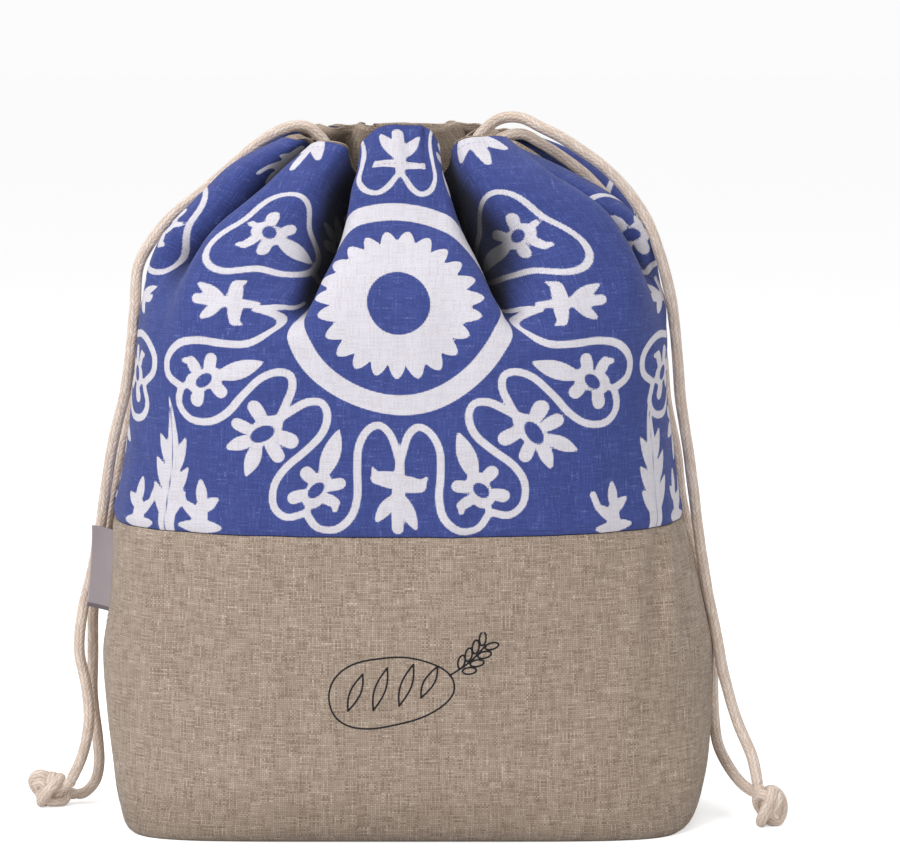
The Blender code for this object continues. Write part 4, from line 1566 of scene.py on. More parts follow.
@dataclass(frozen=True)
class PrintedLinen:
    """Plain weave printed blue round a white pattern, the bare yarn showing here and there."""

    pitch: float = 0.86
    blue: Triple = (0.060, 0.088, 0.305)
    deep: Triple = (0.038, 0.055, 0.215)
    worn: Triple = (0.175, 0.210, 0.450)
    white: Triple = (0.690, 0.675, 0.740)
    cream: Triple = (0.600, 0.560, 0.600)
    # strength of the shade painted into the folds
    fold_shade_strength: float = 0.92

    def make(self, groups: ClothGroups) -> Material:
        """Build the material."""
        made = Surface("printed_linen", 0.10, groups)
        w = made.wiring
        height, tone, thick = made.weave(self.pitch, 0.12, 0.7)
        fuzz, _ = made.lint(0.45)
        # painted shade: the weave's low places darken the blue towards deep and the white towards
        # cream
        pit_shade = w.spread(height, 0.74, 0.28)
        blue = w.mix(w.spread(tone, -0.2, 1.3), self.deep, self.blue)
        blue = w.mix(w.spread(tone, 0.85, 1.7), blue, self.worn)
        blue = w.mix(w.times(pit_shade, 0.45), blue, self.deep)
        bare = w.times(thick, w.spread(fuzz, 0.42, 0.66))
        blue = w.mix(w.times(bare, 0.8), blue, self.worn)
        white = w.mix(w.spread(tone, -0.3, 0.8), self.cream, self.white)
        white = w.mix(w.times(pit_shade, 0.5), white, self.cream)
        edge = w.times_add(w.math("SUBTRACT", height, 0.7), 0.5, w.attribute(PRINT_EDGE))
        yarn = w.mix(w.spread(edge, 0.28, -0.28), blue, white)
        base = made.shaded(yarn, made.mottle(0.07), self.fold_shade_strength)
        return made.finish(base, w.times_add(fuzz, 0.12, 0.8), ((height, 0.16), (fuzz, 0.04)))


@dataclass(frozen=True)
class CottonBraid:
    """Unbleached braided cotton cord."""

    strands: float = 8.0
    pitch: float = 2.9
    cream: Triple = (0.80, 0.685, 0.60)
    warm: Triple = (0.70, 0.57, 0.48)
    deep: Triple = (0.50, 0.37, 0.29)

    def make(self, groups: ClothGroups) -> Material:
        """Build the material."""
        made = Surface("cotton_cord", 0.18, groups)
        w = made.wiring
        height, groove, tone = made.group(
            groups.braid, Map=w.cloth_map(), Strands=self.strands, Pitch=self.pitch
        )
        fuzz, fleck = made.lint(0.6)
        yarn = w.mix(w.spread(tone, 0.1, 0.9), self.warm, self.cream)
        yarn = w.mix(w.times(fleck, 0.5), yarn, self.warm)
        # painted shade: the braid's grooves are darkened towards the deep colour
        yarn = w.mix(w.times(groove, 0.7), yarn, self.deep)
        return made.finish(yarn, w.times_add(fuzz, 0.1, 0.84), ((height, 0.42), (fuzz, 0.2)))


@dataclass(frozen=True)
class RibbonWeave:
    """Smooth blank ribbon, finely ribbed across, with shade painted between the ribs and a darker
    woven edge.
    """

    pitch: float = 0.42
    face: Triple = (0.490, 0.440, 0.470)
    rib: Triple = (0.370, 0.325, 0.350)
    border: Triple = (0.120, 0.095, 0.110)
    edge_width: float = 2.4

    def make(self, groups: ClothGroups) -> Material:
        """Build the material."""
        made = Surface("label_ribbon", 0.12, groups)
        w = made.wiring
        height, _, _ = made.weave(self.pitch, 0.04, 0.1)
        _, up, _ = w.split(w.cloth_map())
        # painted shade: the low places between the ribs take the darker colour
        yarn = w.mix(w.spread(height, 0.4, 0.85), self.rib, self.face)
        border = w.spread(up, self.edge_width * MM, self.edge_width * 0.7 * MM)
        yarn = w.mix(w.times(border, 0.75), yarn, self.border)
        base = w.scaled(yarn, made.mottle(0.12))
        return made.finish(base, w.times_add(height, -0.12, 0.62), ((height, 0.05),))


@dataclass(frozen=True)
class SewingThread:
    """Twisted sewing thread of one colour."""

    name: str
    yarn: Triple
    shadow: Triple

    def make(self, groups: ClothGroups) -> Material:
        """Build the material."""
        made = Surface(self.name, 0.1, groups)
        w = made.wiring
        fuzz, _ = made.lint(0.35)
        base = w.scaled(w.mix(fuzz, self.shadow, self.yarn), made.mottle(0.2))
        return made.finish(base, w.times_add(fuzz, 0.2, 0.55), ((fuzz, 0.08),))


@dataclass
class Body:
    """Everything that stands for the cloth of the bag."""

    shape: BagShape
    groups: ClothGroups
    linen: Material
    printed: Material
    seam_gap: float = 0.3
    lower_thickness: float = 1.2
    upper_thickness: float = 1.1
    facing_thickness: float = 1.1
    facing_depth: float = 1.95
    facing_rise: float = 1.35
    proud_from: float = 2.6
    proud_span: float = 2.2
    rim_fine: Pair = (5.0, 0.8)
    rim_spacing: float = 0.55
    lower_spacing: float = 2.5
    upper_spacing: float = 1.22
    facing_spacing: float = 1.6
    drawing_across: Pair = (-40.0, 47.0)
    drawing_up: Pair = (55.0, 107.0)
    drawing_spacing: float = 0.5
    foot_shade: float = 0.28
    foot_shade_up: float = 34.0
    inside_shade: float = 0.75
    inside_shade_from: float = 7.0
    inside_shade_up: float = 30.0
    base_rings: tuple[float, ...] = (0.975, 0.93, 0.86, 0.76, 0.6, 0.4, 0.2)
    base_map_drop: float = 400.0
    lower_flat: float = 0.2145
    lower_used: float = 0.198
    upper_flat: float = 0.206

    def panel_ends(self, half: Half) -> Pair:
        """Return where a half's side seams stand around the cloth, in mm."""
        middle = half.value * GIRTH
        reach = 0.25 * GIRTH - 0.5 * self.seam_gap
        return middle - reach, middle + reach

    def lower_panel(self) -> Item:
        """Build the lower panel with its boxed bottom and its drawing."""
        top = self.shape.seam_up()
        ends = (-0.5 * GIRTH, 0.5 * GIRTH)
        panel = Panel(
            "lower_cloth", ends, (0.0, top), self.lower_thickness, self.lower_spacing,
            self.drawing_across, self.drawing_up, self.drawing_spacing, ring=True, open_foot=True,
        )
        draft = Draft(panel.name)
        outer, inner = panel.lay(draft, self.shape.place)
        self.close_base(draft, outer[0], 0.0)
        self.close_base(draft, inner[0], self.lower_thickness)
        piece, maps = draft.build()
        mark_points(piece, INK_LINE, BakeryDrawing().distance(maps[:, 0], maps[:, 1]))
        # painted shade: the lower panel's colour darkens towards the floor
        low = 1.0 - smooth_step(np.maximum(maps[:, 1], 0.0) / self.foot_shade_up)
        mark_points(piece, FOLD_SHADE, self.foot_shade * low)
        dress(piece, self.linen, "lower_panel")
        return piece

    def close_base(self, draft: Draft, edge: Array, thickness: float) -> None:
        """Close the bottom from a wall's lowest row to the middle.

        Args:
            draft: Where the points and faces go.
            edge: Point numbers of the lowest row.
            thickness: How far over the floor this skin of the base lies.
        """
        points = np.concatenate(draft.points)[edge]
        turned = thickness == 0.0
        rings = [points]
        for share in self.base_rings:
            ring = points * (share, share, 0.0)
            ring[:, 2] = thickness
            rings.append(ring)
        rings.append(np.zeros_like(points) + (0.0, 0.0, thickness))
        grid = np.stack(rings)
        apart = grid[..., 1] - self.base_map_drop
        maps = np.stack((grid[..., 0], apart, np.full(grid.shape[:2], 2.0)), axis=-1)
        draft.cover(draft.add(grid, maps), turned=turned)

    def upper_panel(self, half: Half) -> Item:
        """Build a printed upper panel."""
        name = half.name.lower()
        up = (self.shape.seam_up() + self.seam_gap, float(self.shape.up[-1]) - FACING_PROUD)
        panel = Panel(
            f"printed_{name}", self.panel_ends(half), up, self.upper_thickness,
            self.upper_spacing,
        )
        draft = Draft(panel.name)
        panel.lay(draft, self.shape.place)
        piece, maps = draft.build()
        across = maps[:, 0] - half.value * GIRTH
        mark_points(piece, PRINT_EDGE, MedallionPrint().distance(across, maps[:, 1]))
        # painted shade: how much the print's colour is darkened in the folds
        mark_points(piece, FOLD_SHADE, self.shape.shade_at(maps[:, 0], maps[:, 1]))
        dress(piece, self.printed, f"upper_{name}")
        return piece

    def facing(self, half: Half) -> Item:
        """Build the natural facing that lines the mouth and tops the printed edge."""
        name = half.name.lower()
        top = float(self.shape.up[-1])
        up = (top - FACING_REACH, top)
        panel = Panel(
            f"mouth_facing_{name}", self.panel_ends(half), up, self.facing_thickness,
            self.facing_spacing, fine_up=(top - self.rim_fine[0], top - self.rim_fine[1]),
            fine_spacing=self.rim_spacing,
        )

        def place(u: Array, v: Array, depth: Array) -> Array:
            """Lay the facing inside the print, and let its top stand out over it."""
            proud = self.facing_rise * ease(v, top - self.proud_from, self.proud_span)
            return self.shape.place(u, v, depth + self.facing_depth - proud)

        draft = Draft(panel.name)
        panel.lay(draft, place)
        piece, maps = draft.build()
        mark_points(piece, INK_LINE, np.full(len(maps), 100.0))
        # painted shade: the facing's colour darkens deeper inside the mouth
        under = top - self.inside_shade_from - maps[:, 1]
        inside = smooth_step(under / self.inside_shade_up)
        mark_points(piece, FOLD_SHADE, self.inside_shade * inside)
        dress(piece, self.linen, f"facing_{name}")
        return piece


@dataclass
class RibbonLabel:
    """The blank folded ribbon that stands out of the left side seam."""

    shape: BagShape
    finish: Material
    low: float = 100.7
    high: float = 141.0
    reach: float = 13.0
    shown: float = 10.4
    sag: float = 0.6
    lift: float = 3.4
    layer_gap: float = 0.42
    thickness: float = 0.34
    depth: float = 5.0
    turn: float = 3.0
    place_around: float = -187.0
    spacing: float = 0.7
    leg: float = 0.47
    root_in: float = 0.6
    flat: float = 0.0285

    def path(self, share: Array) -> tuple[Array, Array, Array, Array]:
        """Return reach, side and outward direction at each share of the folded length."""
        bend = self.layer_gap / self.reach
        phase = np.clip((share - self.leg) / (1.0 - 2.0 * self.leg), 0.0, 1.0) * np.pi
        straight = np.minimum(share, 1.0 - share) / self.leg
        reach = np.clip(straight, 0.0, 1.0) * (1.0 - bend) + bend * np.sin(phase)
        return reach, -np.cos(phase), np.sin(phase), -np.cos(phase)

    def place(self, u: Array, v: Array, depth: Array) -> Array:
        """Put a place on the ribbon, at a depth, into space."""
        heights = self.low + v
        ups = np.interp(heights, self.shape.heights, self.shape.up)
        root = self.shape.place(np.full_like(u, self.place_around), ups)[..., 0] + self.root_in
        low_share = (self.high - heights) / (self.high - self.low)
        total = self.shown + self.root_in + self.sag * low_share
        reach, side, out_x, out_y = self.path(u / (2.0 * self.reach))
        belly = 1.0 + 0.5 * np.sin(np.pi * reach) * (0.7 + 0.3 * np.sin(v / 9.0))
        curl = 0.35 * np.sin(v / 13.0 + 0.6) * reach
        x = root - reach * total - out_x * (0.15 - depth)
        y = side * self.layer_gap * belly - self.depth - self.turn * reach * reach + curl
        heights = heights + self.lift * reach + 0.5 * np.sin(np.pi * reach) * np.sin(v / 17.0)
        return np.stack((x, y + out_y * (0.15 - depth), heights), axis=-1)

    def build(self) -> Item:
        """Build the label."""
        panel = Panel(
            "side_label", (0.0, 2.0 * self.reach), (0.0, self.high - self.low), self.thickness,
            self.spacing, fine_across=(self.reach - 1.4, self.reach + 1.4), fine_spacing=0.16,
        )
        draft = Draft(panel.name)
        panel.lay(draft, self.place)
        piece, _ = draft.build()
        dress(piece, self.finish, "label")
        return piece


@dataclass(frozen=True)
class Route:
    """The line that one free strand of cord follows, and the node that it stands for."""

    name: str
    node: str
    knot: str
    points: tuple[Triple, ...]


@dataclass(frozen=True)
class Knot:
    """One overhand knot, where it lies and how large it is."""

    name: str
    node: str
    centre: Triple
    size: Triple
    turn: float
    spin: float


ROUTES = (
    Route("cord_left_outer", "cord_left_front", "left_overhand", (
        (-36.4, 4.0, 321.5), (-37.4, 3.9, 326.5), (-40.2, 3.7, 331.8), (-44.0, 3.5, 336.0),
        (-48.0, 3.5, 338.8), (-54.0, 3.0, 339.6), (-61.5, 2.0, 337.4),
        (-71.0, 1.0, 331.8), (-83.5, 0.0, 321.5), (-99.0, -1.0, 308.0), (-116.4, -1.6, 293.7),
        (-130.5, -1.6, 273.0), (-132.7, -4.4, 252.5), (-134.5, -6.5, 233.0),
        (-138.0, -4.0, 210.5), (-144.5, -1.0, 185.5), (-149.0, 0.0, 159.5), (-152.0, 1.0, 140.5),
        (-156.0, 1.0, 120.5), (-161.0, 1.0, 100.5), (-163.0, 0.0, 80.5), (-159.5, -1.0, 61.5),
        (-158.5, -2.0, 44.5), (-162.0, -1.0, 27.5), (-168.6, 1.7, 13.0),
    )),
    Route("cord_left_inner", "cord_left_back", "left_overhand", (
        (-45.5, 3.5, 328.3), (-50.5, 4.5, 331.2), (-56.0, 6.0, 331.6), (-63.5, 8.0, 329.2),
        (-73.0, 10.0, 325.0), (-85.5, 12.0, 318.5), (-99.7, 13.7, 305.1), (-114.0, 16.0, 288.0),
        (-123.5, 18.0, 267.0), (-128.0, 18.5, 248.5), (-132.5, 17.5, 228.5),
        (-136.5, 17.0, 206.0), (-142.0, 15.0, 181.0), (-146.5, 13.0, 158.0),
        (-149.5, 12.0, 139.0), (-154.0, 11.0, 119.0), (-157.0, 11.0, 98.5), (-157.5, 11.5, 78.0),
        (-158.0, 12.0, 55.0), (-156.0, 12.5, 34.5), (-155.5, 13.5, 19.0), (-158.0, 13.5, 10.0),
        (-163.5, 12.5, 4.8), (-167.9, 11.2, 4.8),
    )),
    Route("cord_right_outer", "cord_right_front", "right_overhand", (
        (31.4, 4.0, 322.5), (32.3, 3.9, 328.4), (35.2, 3.7, 334.4), (39.5, 3.5, 338.8),
        (43.5, 3.0, 342.0), (49.0, 2.0, 343.8), (56.0, -0.5, 343.4),
        (65.5, -5.0, 339.0), (74.5, -6.0, 334.5), (85.5, -7.0, 327.5), (97.0, -8.0, 319.0),
        (107.5, -9.0, 308.0), (117.0, -10.0, 293.5), (123.5, -11.0, 276.5), (128.7, -12.0, 255.5),
        (131.8, -11.0, 231.0), (134.0, -9.0, 206.5), (138.0, -8.0, 181.5), (141.0, -8.0, 159.5),
        (144.0, -8.0, 137.0), (148.0, -9.0, 112.0), (152.0, -12.0, 93.0), (156.0, -16.0, 71.0),
        (162.5, -22.0, 48.5), (169.0, -29.0, 33.0), (171.9, -33.6, 18.6),
    )),
    Route("cord_right_inner", "cord_right_back", "right_overhand", (
        (41.5, 3.5, 330.2), (46.0, 3.8, 333.4), (51.0, 4.5, 335.2), (57.5, 5.5, 335.2),
        (65.5, 6.0, 331.0), (75.0, 7.0, 325.0), (87.0, 8.0, 316.0), (98.5, 9.0, 304.0),
        (108.0, 12.0, 291.0), (115.5, 16.0, 274.0), (121.5, 19.5, 253.0), (126.5, 20.0, 228.0),
        (129.0, 21.5, 203.0), (134.0, 20.5, 178.5), (137.0, 18.5, 153.5), (143.0, 16.5, 129.0),
        (149.5, 13.5, 104.0), (153.0, 13.0, 83.5), (153.0, 12.5, 62.5), (153.5, 10.0, 45.5),
        (155.0, 5.0, 32.5), (159.0, -6.0, 24.0), (165.0, -20.0, 17.5), (171.0, -29.4, 14.8),
    )),
)

KNOTS = (
    Knot("left_overhand", "knot_left", (-179.5, 6.0, 8.6), (22.0, 17.0, 18.0), 0.0, 20.0),
    Knot("right_overhand", "knot_right", (177.5, -35.0, 9.4), (18.0, 17.0, 19.6), 55.0, 75.0),
)


@dataclass
class Tube:
    """A round braid swept along a line of points."""

    name: str
    line: Array
    radius: float
    closed: bool = False
    sides: int = 24
    bumpy: float = 0.05
    seed: int = 3
    upright: float = 0.1

    def frames(self) -> tuple[Array, Array]:
        """Return two side directions that turn as little as possible along the line."""
        if self.closed:
            ahead = np.roll(self.line, -1, axis=0) - np.roll(self.line, 1, axis=0)
        else:
            ahead = np.gradient(self.line, axis=0)
        ahead = unit(ahead)
        start = np.cross(ahead[0], (0.0, 0.0, 1.0))
        if np.linalg.norm(start) < self.upright:
            start = np.cross(ahead[0], (0.0, 1.0, 0.0))
        sides = [unit(start)]
        for way in ahead[1:]:
            sides.append(unit(sides[-1] - np.dot(sides[-1], way) * way))
        first = np.array(sides)
        if self.closed:
            back = unit(first[-1] - np.dot(first[-1], ahead[0]) * ahead[0])
            other = np.cross(ahead[0], first[0])
            gap = math.atan2(float(np.dot(back, other)), float(np.dot(back, first[0])))
            angle = -gap * np.arange(len(first)) / len(first)
            second = np.cross(ahead, first)
            first = first * np.cos(angle)[:, None] + second * np.sin(angle)[:, None]
        return first, np.cross(ahead, first)

    def build(self) -> Item:
        """Build the tube as an object of its own."""
        draft = Draft(self.name)
        self.sweep(draft)
        return draft.build()[0]

    def sweep(self, draft: Draft) -> None:
        """Add the tube to a draft, with rounded ends or closed on itself."""
        first, second = self.frames()
        run = running(np.linalg.norm(np.diff(self.line, axis=0), axis=1))
        turn = np.linspace(0.0, 2.0 * np.pi, self.sides + 1)
        wave = np.sin(run / 7.3 + self.seed)[:, None] * np.sin(2.0 * turn + self.seed)[None, :]
        wave += 0.7 * np.sin(run / 3.1 + 2.0 * self.seed)[:, None] * np.cos(turn - 0.5)[None, :]
        radius = self.radius * (1.0 + self.bumpy * 0.5 * wave)
        line, ends = self.line, np.ones(len(run))
        if not self.closed:
            lead = np.minimum(run, run[-1] - run) / self.radius
            ends = np.sqrt(np.clip(1.0 - (1.0 - np.clip(lead, 0.0, 1.0)) ** 2, 0.0, 1.0))
        radius = radius * ends[:, None]
        way = np.cos(turn)[None, :, None] * first[:, None, :]
        way = way + np.sin(turn)[None, :, None] * second[:, None, :]
        points = line[:, None, :] + way * radius[..., None]
        share, along = np.meshgrid(turn / (2.0 * np.pi) * 1000.0, run)
        maps = np.stack((share, along, np.zeros_like(share)), axis=-1)
        if self.closed:
            step = float(np.linalg.norm(self.line[0] - self.line[-1]))
            points = np.concatenate((points, points[:1]))
            last = maps[:1].copy()
            last[..., 1] = run[-1] + step
            maps = np.concatenate((maps, last))
        draft.cover(draft.add(points, maps))


@dataclass
class Drawcords:
    """The four free strands of cord and the two knots that join them in pairs."""

    finish: Material
    step: float = 0.8
    knot_step: int = 190
    knot_radius: float = 2.7
    pair_gap: float = 2.1
    knot_reach: float = 5.7
    knot_swing: float = 3.4
    knot_rise: float = 5.0
    lead_back: float = 2.5

    def knot(self, knot: Knot) -> Item:
        """Build one overhand knot tied in both strands, with the ends that run into it."""
        turn = np.linspace(0.0, 2.0 * np.pi, self.knot_step, endpoint=False)
        reach = self.knot_reach + self.knot_swing * np.cos(3.0 * turn)
        spin = math.radians(knot.spin)
        line = np.column_stack((
            reach * np.cos(2.0 * turn + spin), reach * np.sin(2.0 * turn + spin),
            self.knot_rise * np.sin(3.0 * turn),
        ))
        room = 0.5 * np.array(knot.size) - self.knot_radius - 0.6 * self.pair_gap
        line *= room / np.abs(line).max(axis=0)
        angle = math.radians(knot.turn)
        x = line[:, 0] * math.cos(angle) - line[:, 1] * math.sin(angle)
        y = line[:, 0] * math.sin(angle) + line[:, 1] * math.cos(angle)
        line = np.column_stack((x, y, line[:, 2])) + knot.centre
        first, second = Tube(knot.name, line, self.knot_radius, closed=True).frames()
        draft = Draft(knot.name)
        for seed, side in enumerate((-1.0, 1.0)):
            sway = 0.9 * np.sin(2.0 * turn + seed)[:, None]
            strand = line + side * self.pair_gap * (np.cos(sway) * first + np.sin(sway) * second)
            strand[:, 2] = np.maximum(strand[:, 2], self.knot_radius)
            Tube(knot.name, strand, self.knot_radius, True, bumpy=0.1, seed=seed).sweep(draft)
        for route in ROUTES:
            if route.knot == knot.name:
                end, last = np.array(route.points[-1]), np.array(route.points[-2])
                way = unit(end - last)
                middle = end + 0.45 * (np.array(knot.centre) - end) + 1.5 * way
                lead = np.stack((end - self.lead_back * way, end, middle, knot.centre))
                lead = even_line(smooth_line(lead, 12), self.step)
                lead[:, 2] = np.maximum(lead[:, 2], 0.5 * CORD_DIAMETER)
                Tube(knot.name, lead, 0.5 * CORD_DIAMETER + 0.05).sweep(draft)
        return dress(draft.build()[0], self.finish, knot.node)

    def strand(self, route: Route, knot: Item, seed: int) -> Item:
        """Args:
            route: The strand's line.
            knot: The knot at its end; not used.
            seed: Which unevenness it has.

        Returns:
            The strand.
        """
        line = even_line(smooth_line(np.array(route.points), 24), self.step)
        piece = Tube(route.name, line, 0.5 * CORD_DIAMETER, seed=seed).build()
        dress(piece, self.finish, route.node)
        return piece

    def build(self) -> list[Item]:
        """Build the knots, then the strands that run into them."""
        knots = {knot.name: self.knot(knot) for knot in KNOTS}
        strands = [
            self.strand(route, knots[route.knot], seed) for seed, route in enumerate(ROUTES)
        ]
        return [*knots.values(), *strands]


class StitchTree:
    """The geometry tree that lays one small stitch after another along a line."""

    SOCKETS = (
        ("Line", "INPUT", "Geometry"), ("Pitch", "INPUT", "Float"), ("Length", "INPUT", "Float"),
        ("Thickness", "INPUT", "Float"), ("Seed", "INPUT", "Int"),
        ("Thread", "INPUT", "Material"), ("Stitches", "OUTPUT", "Geometry"),
    )
    NODES = (
        ("source", "NodeGroupInput", {}), ("result", "NodeGroupOutput", {}),
        ("resample", "GeometryNodeResampleCurve", {"mode": "LENGTH"}),
        ("grain", "GeometryNodeMeshUVSphere", {"Segments": 6, "Rings": 5, "Radius": 0.5}),
        ("tangent", "GeometryNodeInputTangent", {}),
        ("align", "FunctionNodeAlignRotationToVector", {"axis": "X"}),
        ("scale", "ShaderNodeCombineXYZ", {}),
        ("uneven", "FunctionNodeRandomValue", {"data_type": "FLOAT", 2: 0.86, 3: 1.1}),
        ("longer", "ShaderNodeMath", {"operation": "MULTIPLY"}),
        ("lay", "GeometryNodeInstanceOnPoints", {}),
        ("real", "GeometryNodeRealizeInstances", {}),
        ("dress", "GeometryNodeSetMaterial", {}),
        ("smooth", "GeometryNodeSetShadeSmooth", {}),
    )
    LINKS = (
        ("source", "Line", "resample", "Curve"), ("source", "Pitch", "resample", "Length"),
        ("source", "Seed", "uneven", "Seed"), ("source", "Length", "longer", 0),
        ("uneven", 1, "longer", 1), ("longer", 0, "scale", 0),
        ("source", "Thickness", "scale", 1), ("source", "Thickness", "scale", 2),
        ("tangent", 0, "align", "Vector"), ("resample", 0, "lay", "Points"),
        ("grain", "Mesh", "lay", "Instance"), ("align", 0, "lay", "Rotation"),
        ("scale", 0, "lay", "Scale"), ("lay", 0, "real", 0), ("real", 0, "smooth", 0),
        ("smooth", 0, "dress", "Geometry"), ("source", "Thread", "dress", "Material"),
        ("dress", 0, "result", "Stitches"),
    )

    def __init__(self) -> None:
        """Build the tree with its named inputs."""
        self.tree = bpy.data.node_groups.new("stitch_row", "GeometryNodeTree")
        for name, way, kind in self.SOCKETS:
            self.tree.interface.new_socket(name, in_out=way, socket_type=f"NodeSocket{kind}")
        made = {}
        for name, kind, values in self.NODES:
            made[name] = node = self.tree.nodes.new(kind)
            for key, value in values.items():
                if isinstance(value, str):
                    setattr(node, key, value)
                else:
                    node.inputs[key].default_value = value
        for start, out, end, into in self.LINKS:
            self.tree.links.new(made[start].outputs[out], made[end].inputs[into])

    def row(
        self, name: str, line: Array, thread: Material, slot: Slot,
        pitch: float = 2.8, length: float = 2.1, thickness: float = 0.5, seed: int = 7,
    ) -> Item:
        """Sew one row of stitches along a line.

        Args:
            name: The row's name.
            line: Points of the line, in mm.
            thread: The thread's material.
            slot: The slot that the thread belongs to; not used.
            pitch: Distance from stitch to stitch, in mm.
            length: Length of a stitch, in mm.
            thickness: Thickness of the thread, in mm.
            seed: Which unevenness the row has.

        Returns:
            The row as a plain mesh.
        """
        curve = bpy.data.curves.new(f"{name}_line", "CURVE")
        curve.dimensions = "3D"
        spline = curve.splines.new("POLY")
        spline.points.add(len(line) - 1)
        flat = np.column_stack((line * MM, np.ones(len(line))))
        spline.points.foreach_set("co", flat.astype(np.float32).ravel())
        holder = add_item(f"{name}_line", curve)
        modifier = holder.modifiers.new("Stitches", "NODES")
        modifier.node_group = self.tree
        values = {
            "Pitch": pitch * MM, "Length": length * MM, "Thickness": thickness * MM,
            "Seed": seed, "Thread": thread,
        }
        for item in self.tree.interface.items_tree:
            if item.in_out == "INPUT" and item.name in values:
                modifier[item.identifier] = values[item.name]
        graph = bpy.context.evaluated_depsgraph_get()
        mesh = bpy.data.meshes.new_from_object(holder.evaluated_get(graph), depsgraph=graph)
        holder.modifiers.remove(modifier)
        bpy.data.objects.remove(holder, do_unlink=True)
        bpy.data.curves.remove(curve)
        mesh.name = name
        return dress(add_item(name, mesh), thread)


@dataclass
class Stitching:
    """The rows of stitches that close the mouth's hem and cord channel and hold the label."""

    shape: BagShape
    tree: StitchTree
    blue: Material
    ecru: Material
    rim_drop: float = 6.0
    channel_drop: float = 26.5
    side_clear: float = 2.5
    row_points: int = 420
    tack_points: int = 60

    def hem_row(self, half: Half, drop: float, name: str, seed: int) -> Item:
        """Sew one row round a half of the mouth, drop mm under its rim."""
        middle, reach = half.value * GIRTH, 0.25 * GIRTH - self.side_clear
        u = np.linspace(middle - reach, middle + reach, self.row_points)
        line = self.shape.place(u, np.full_like(u, self.shape.up[-1] - drop), 0.1)
        return self.tree.row(
            f"{name}_{half.name.lower()}", line, self.blue, Slot.PRINT, thickness=0.3, seed=seed
        )

    def side_row(self, name: str, around: float, ends: Pair, seed: int) -> Item:
        """Sew one upright row beside a side seam."""
        v = np.linspace(*ends, self.tack_points)
        line = self.shape.place(np.full_like(v, around), v, -0.05)
        return self.tree.row(name, line, self.ecru, Slot.LINEN, pitch=2.6, seed=seed)

    def build(self) -> list[Item]:
        """Sew every row."""
        rows = []
        for seed, half in enumerate(Half):
            rows.append(self.hem_row(half, self.rim_drop, "rim_stitches", 11 + seed))
            rows.append(self.hem_row(half, self.channel_drop, "channel_stitches", 21 + seed))
        rows.append(self.side_row("label_tack", -183.6, (99.5, 143.5), 31))
        return rows


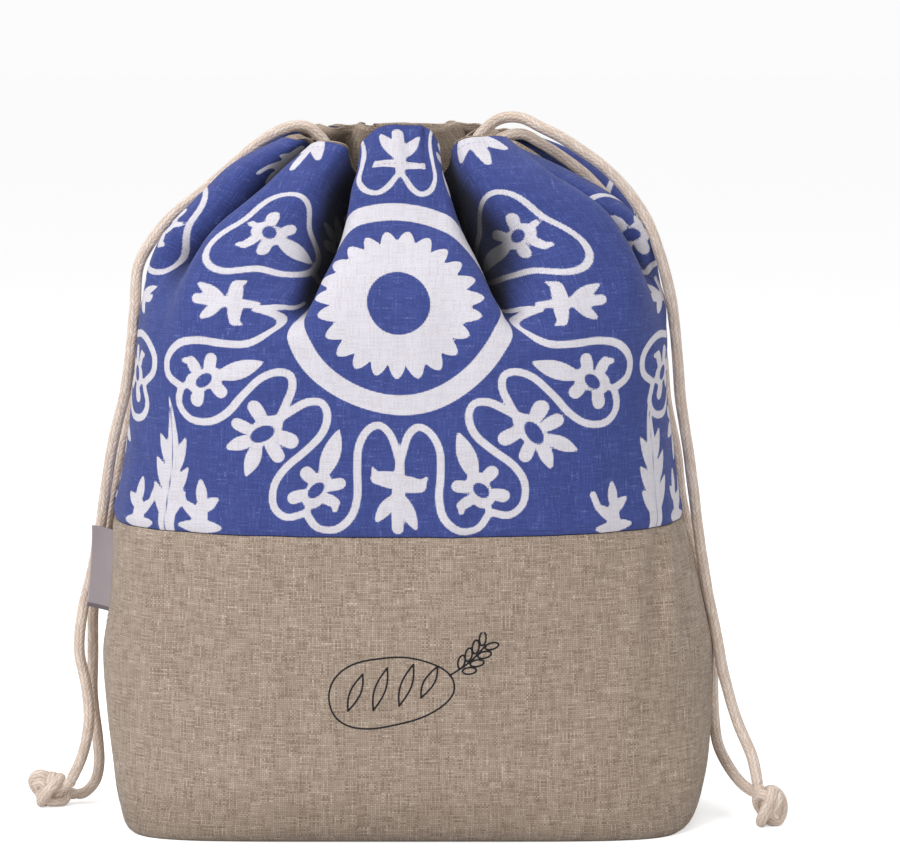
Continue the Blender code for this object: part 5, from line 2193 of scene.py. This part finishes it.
@dataclass
class Studio:
    """The floor, the light and the camera."""

    place: Triple = (0.0212, -1.5384, 0.3779)
    tilt: float = 83.0
    lens: float = 125.86
    floor_tone: float = 0.84
    sky: float = 0.52
    sky_seen: float = 0.97
    floor_glow: float = 0.52
    floor_size: float = 40.0

    def build(self) -> None:
        """Set up the studio round the object."""
        self.lay_floor()
        self.hang_light("key", (-1.05, -1.15, 1.45), 0.9, 24.0)
        self.hang_light("fill", (1.1, -1.4, 0.8), 1.2, 5.0)
        self.hang_light("top", (0.0, 0.35, 1.7), 1.2, 9.0)
        world = bpy.data.worlds.new("studio")
        world.use_nodes = True
        sky = world.node_tree.nodes["Background"]
        sky.inputs["Color"].default_value = (1.0, 1.0, 1.0, 1.0)
        w = Wiring(world.node_tree)
        seen = w.add("ShaderNodeLightPath").outputs["Is Camera Ray"]
        w.feed(sky.inputs["Strength"], w.times_add(seen, self.sky_seen - self.sky, self.sky))
        scene = bpy.context.scene
        scene.world = world
        scene.view_settings.view_transform = "Standard"
        scene.view_settings.look = "None"
        self.set_camera()

    def lay_floor(self) -> None:
        """Lay the plain pale floor."""
        size = self.floor_size
        mesh = bpy.data.meshes.new("floor")
        corners = [(-size, -size, 0.0), (size, -size, 0.0), (size, size, 0.0), (-size, size, 0.0)]
        mesh.from_pydata(corners, [], [(0, 1, 2, 3)])
        floor = add_item("floor", mesh)
        material = bpy.data.materials.new("pale_floor")
        material.use_nodes = True
        shader = material.node_tree.nodes["Principled BSDF"]
        shader.inputs["Base Color"].default_value = (*([self.floor_tone] * 3), 1.0)
        shader.inputs["Roughness"].default_value = 0.9
        shader.inputs["Emission Color"].default_value = (1.0, 1.0, 1.0, 1.0)
        w = Wiring(material.node_tree)
        seen = w.add("ShaderNodeLightPath").outputs["Is Camera Ray"]
        w.feed(shader.inputs["Emission Strength"], w.times(seen, self.floor_glow))
        set_finish(floor, material)

    @staticmethod
    def hang_light(name: str, place: Triple, size: float, power: float) -> None:
        """Hang one soft square light that faces the object's middle."""
        data = bpy.data.lights.new(name, "AREA")
        data.size = size
        data.energy = power
        light = add_item(name, data)
        way = np.array((0.0, 0.0, 0.17)) - np.array(place)
        level = math.hypot(way[0], way[1])
        light.location = place
        light.rotation_euler = (
            math.radians(90.0) + math.atan2(way[2], level), 0.0, math.atan2(-way[0], way[1])
        )

    def set_camera(self) -> None:
        """Create the camera and make it the scene's."""
        data = bpy.data.cameras.new("camera")
        data.lens = self.lens
        data.sensor_width = 36.0
        data.clip_start = 0.05
        camera = add_item("camera", data)
        camera.location = self.place
        camera.rotation_euler = (math.radians(self.tilt), 0.0, 0.0)
        bpy.context.scene.camera = camera


def report(piece: Item) -> None:
    """Log one finished piece and its number of triangles."""
    triangles = sum(len(face.vertices) - 2 for face in piece.data.polygons)
    LOG.info("%s: %d triangles", piece.name, triangles)


def main() -> None:
    """Dress the bag."""
    logging.basicConfig(level=logging.INFO, format="%(message)s")
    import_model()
    Studio().build()
    groups = ClothGroups()
    linen = NaturalLinen().make(groups)
    printed = PrintedLinen().make(groups)
    braid = CottonBraid().make(groups)
    ribbon = RibbonWeave().make(groups)
    blue = SewingThread("blue_thread", (0.17, 0.20, 0.46), (0.07, 0.09, 0.28)).make(groups)
    ecru = SewingThread("ecru_thread", (0.46, 0.375, 0.29), (0.25, 0.19, 0.14)).make(groups)
    for piece in Drawcords(braid).build():
        report(piece)
    shape = BagShape()
    body = Body(shape, groups, linen, printed)
    report(body.lower_panel())
    for half in Half:
        report(body.upper_panel(half))
        report(body.facing(half))
    report(RibbonLabel(shape, ribbon).build())
    for piece in Stitching(shape, StitchTree(), blue, ecru).build():
        report(piece)


if __name__ == "__main__":
    main()
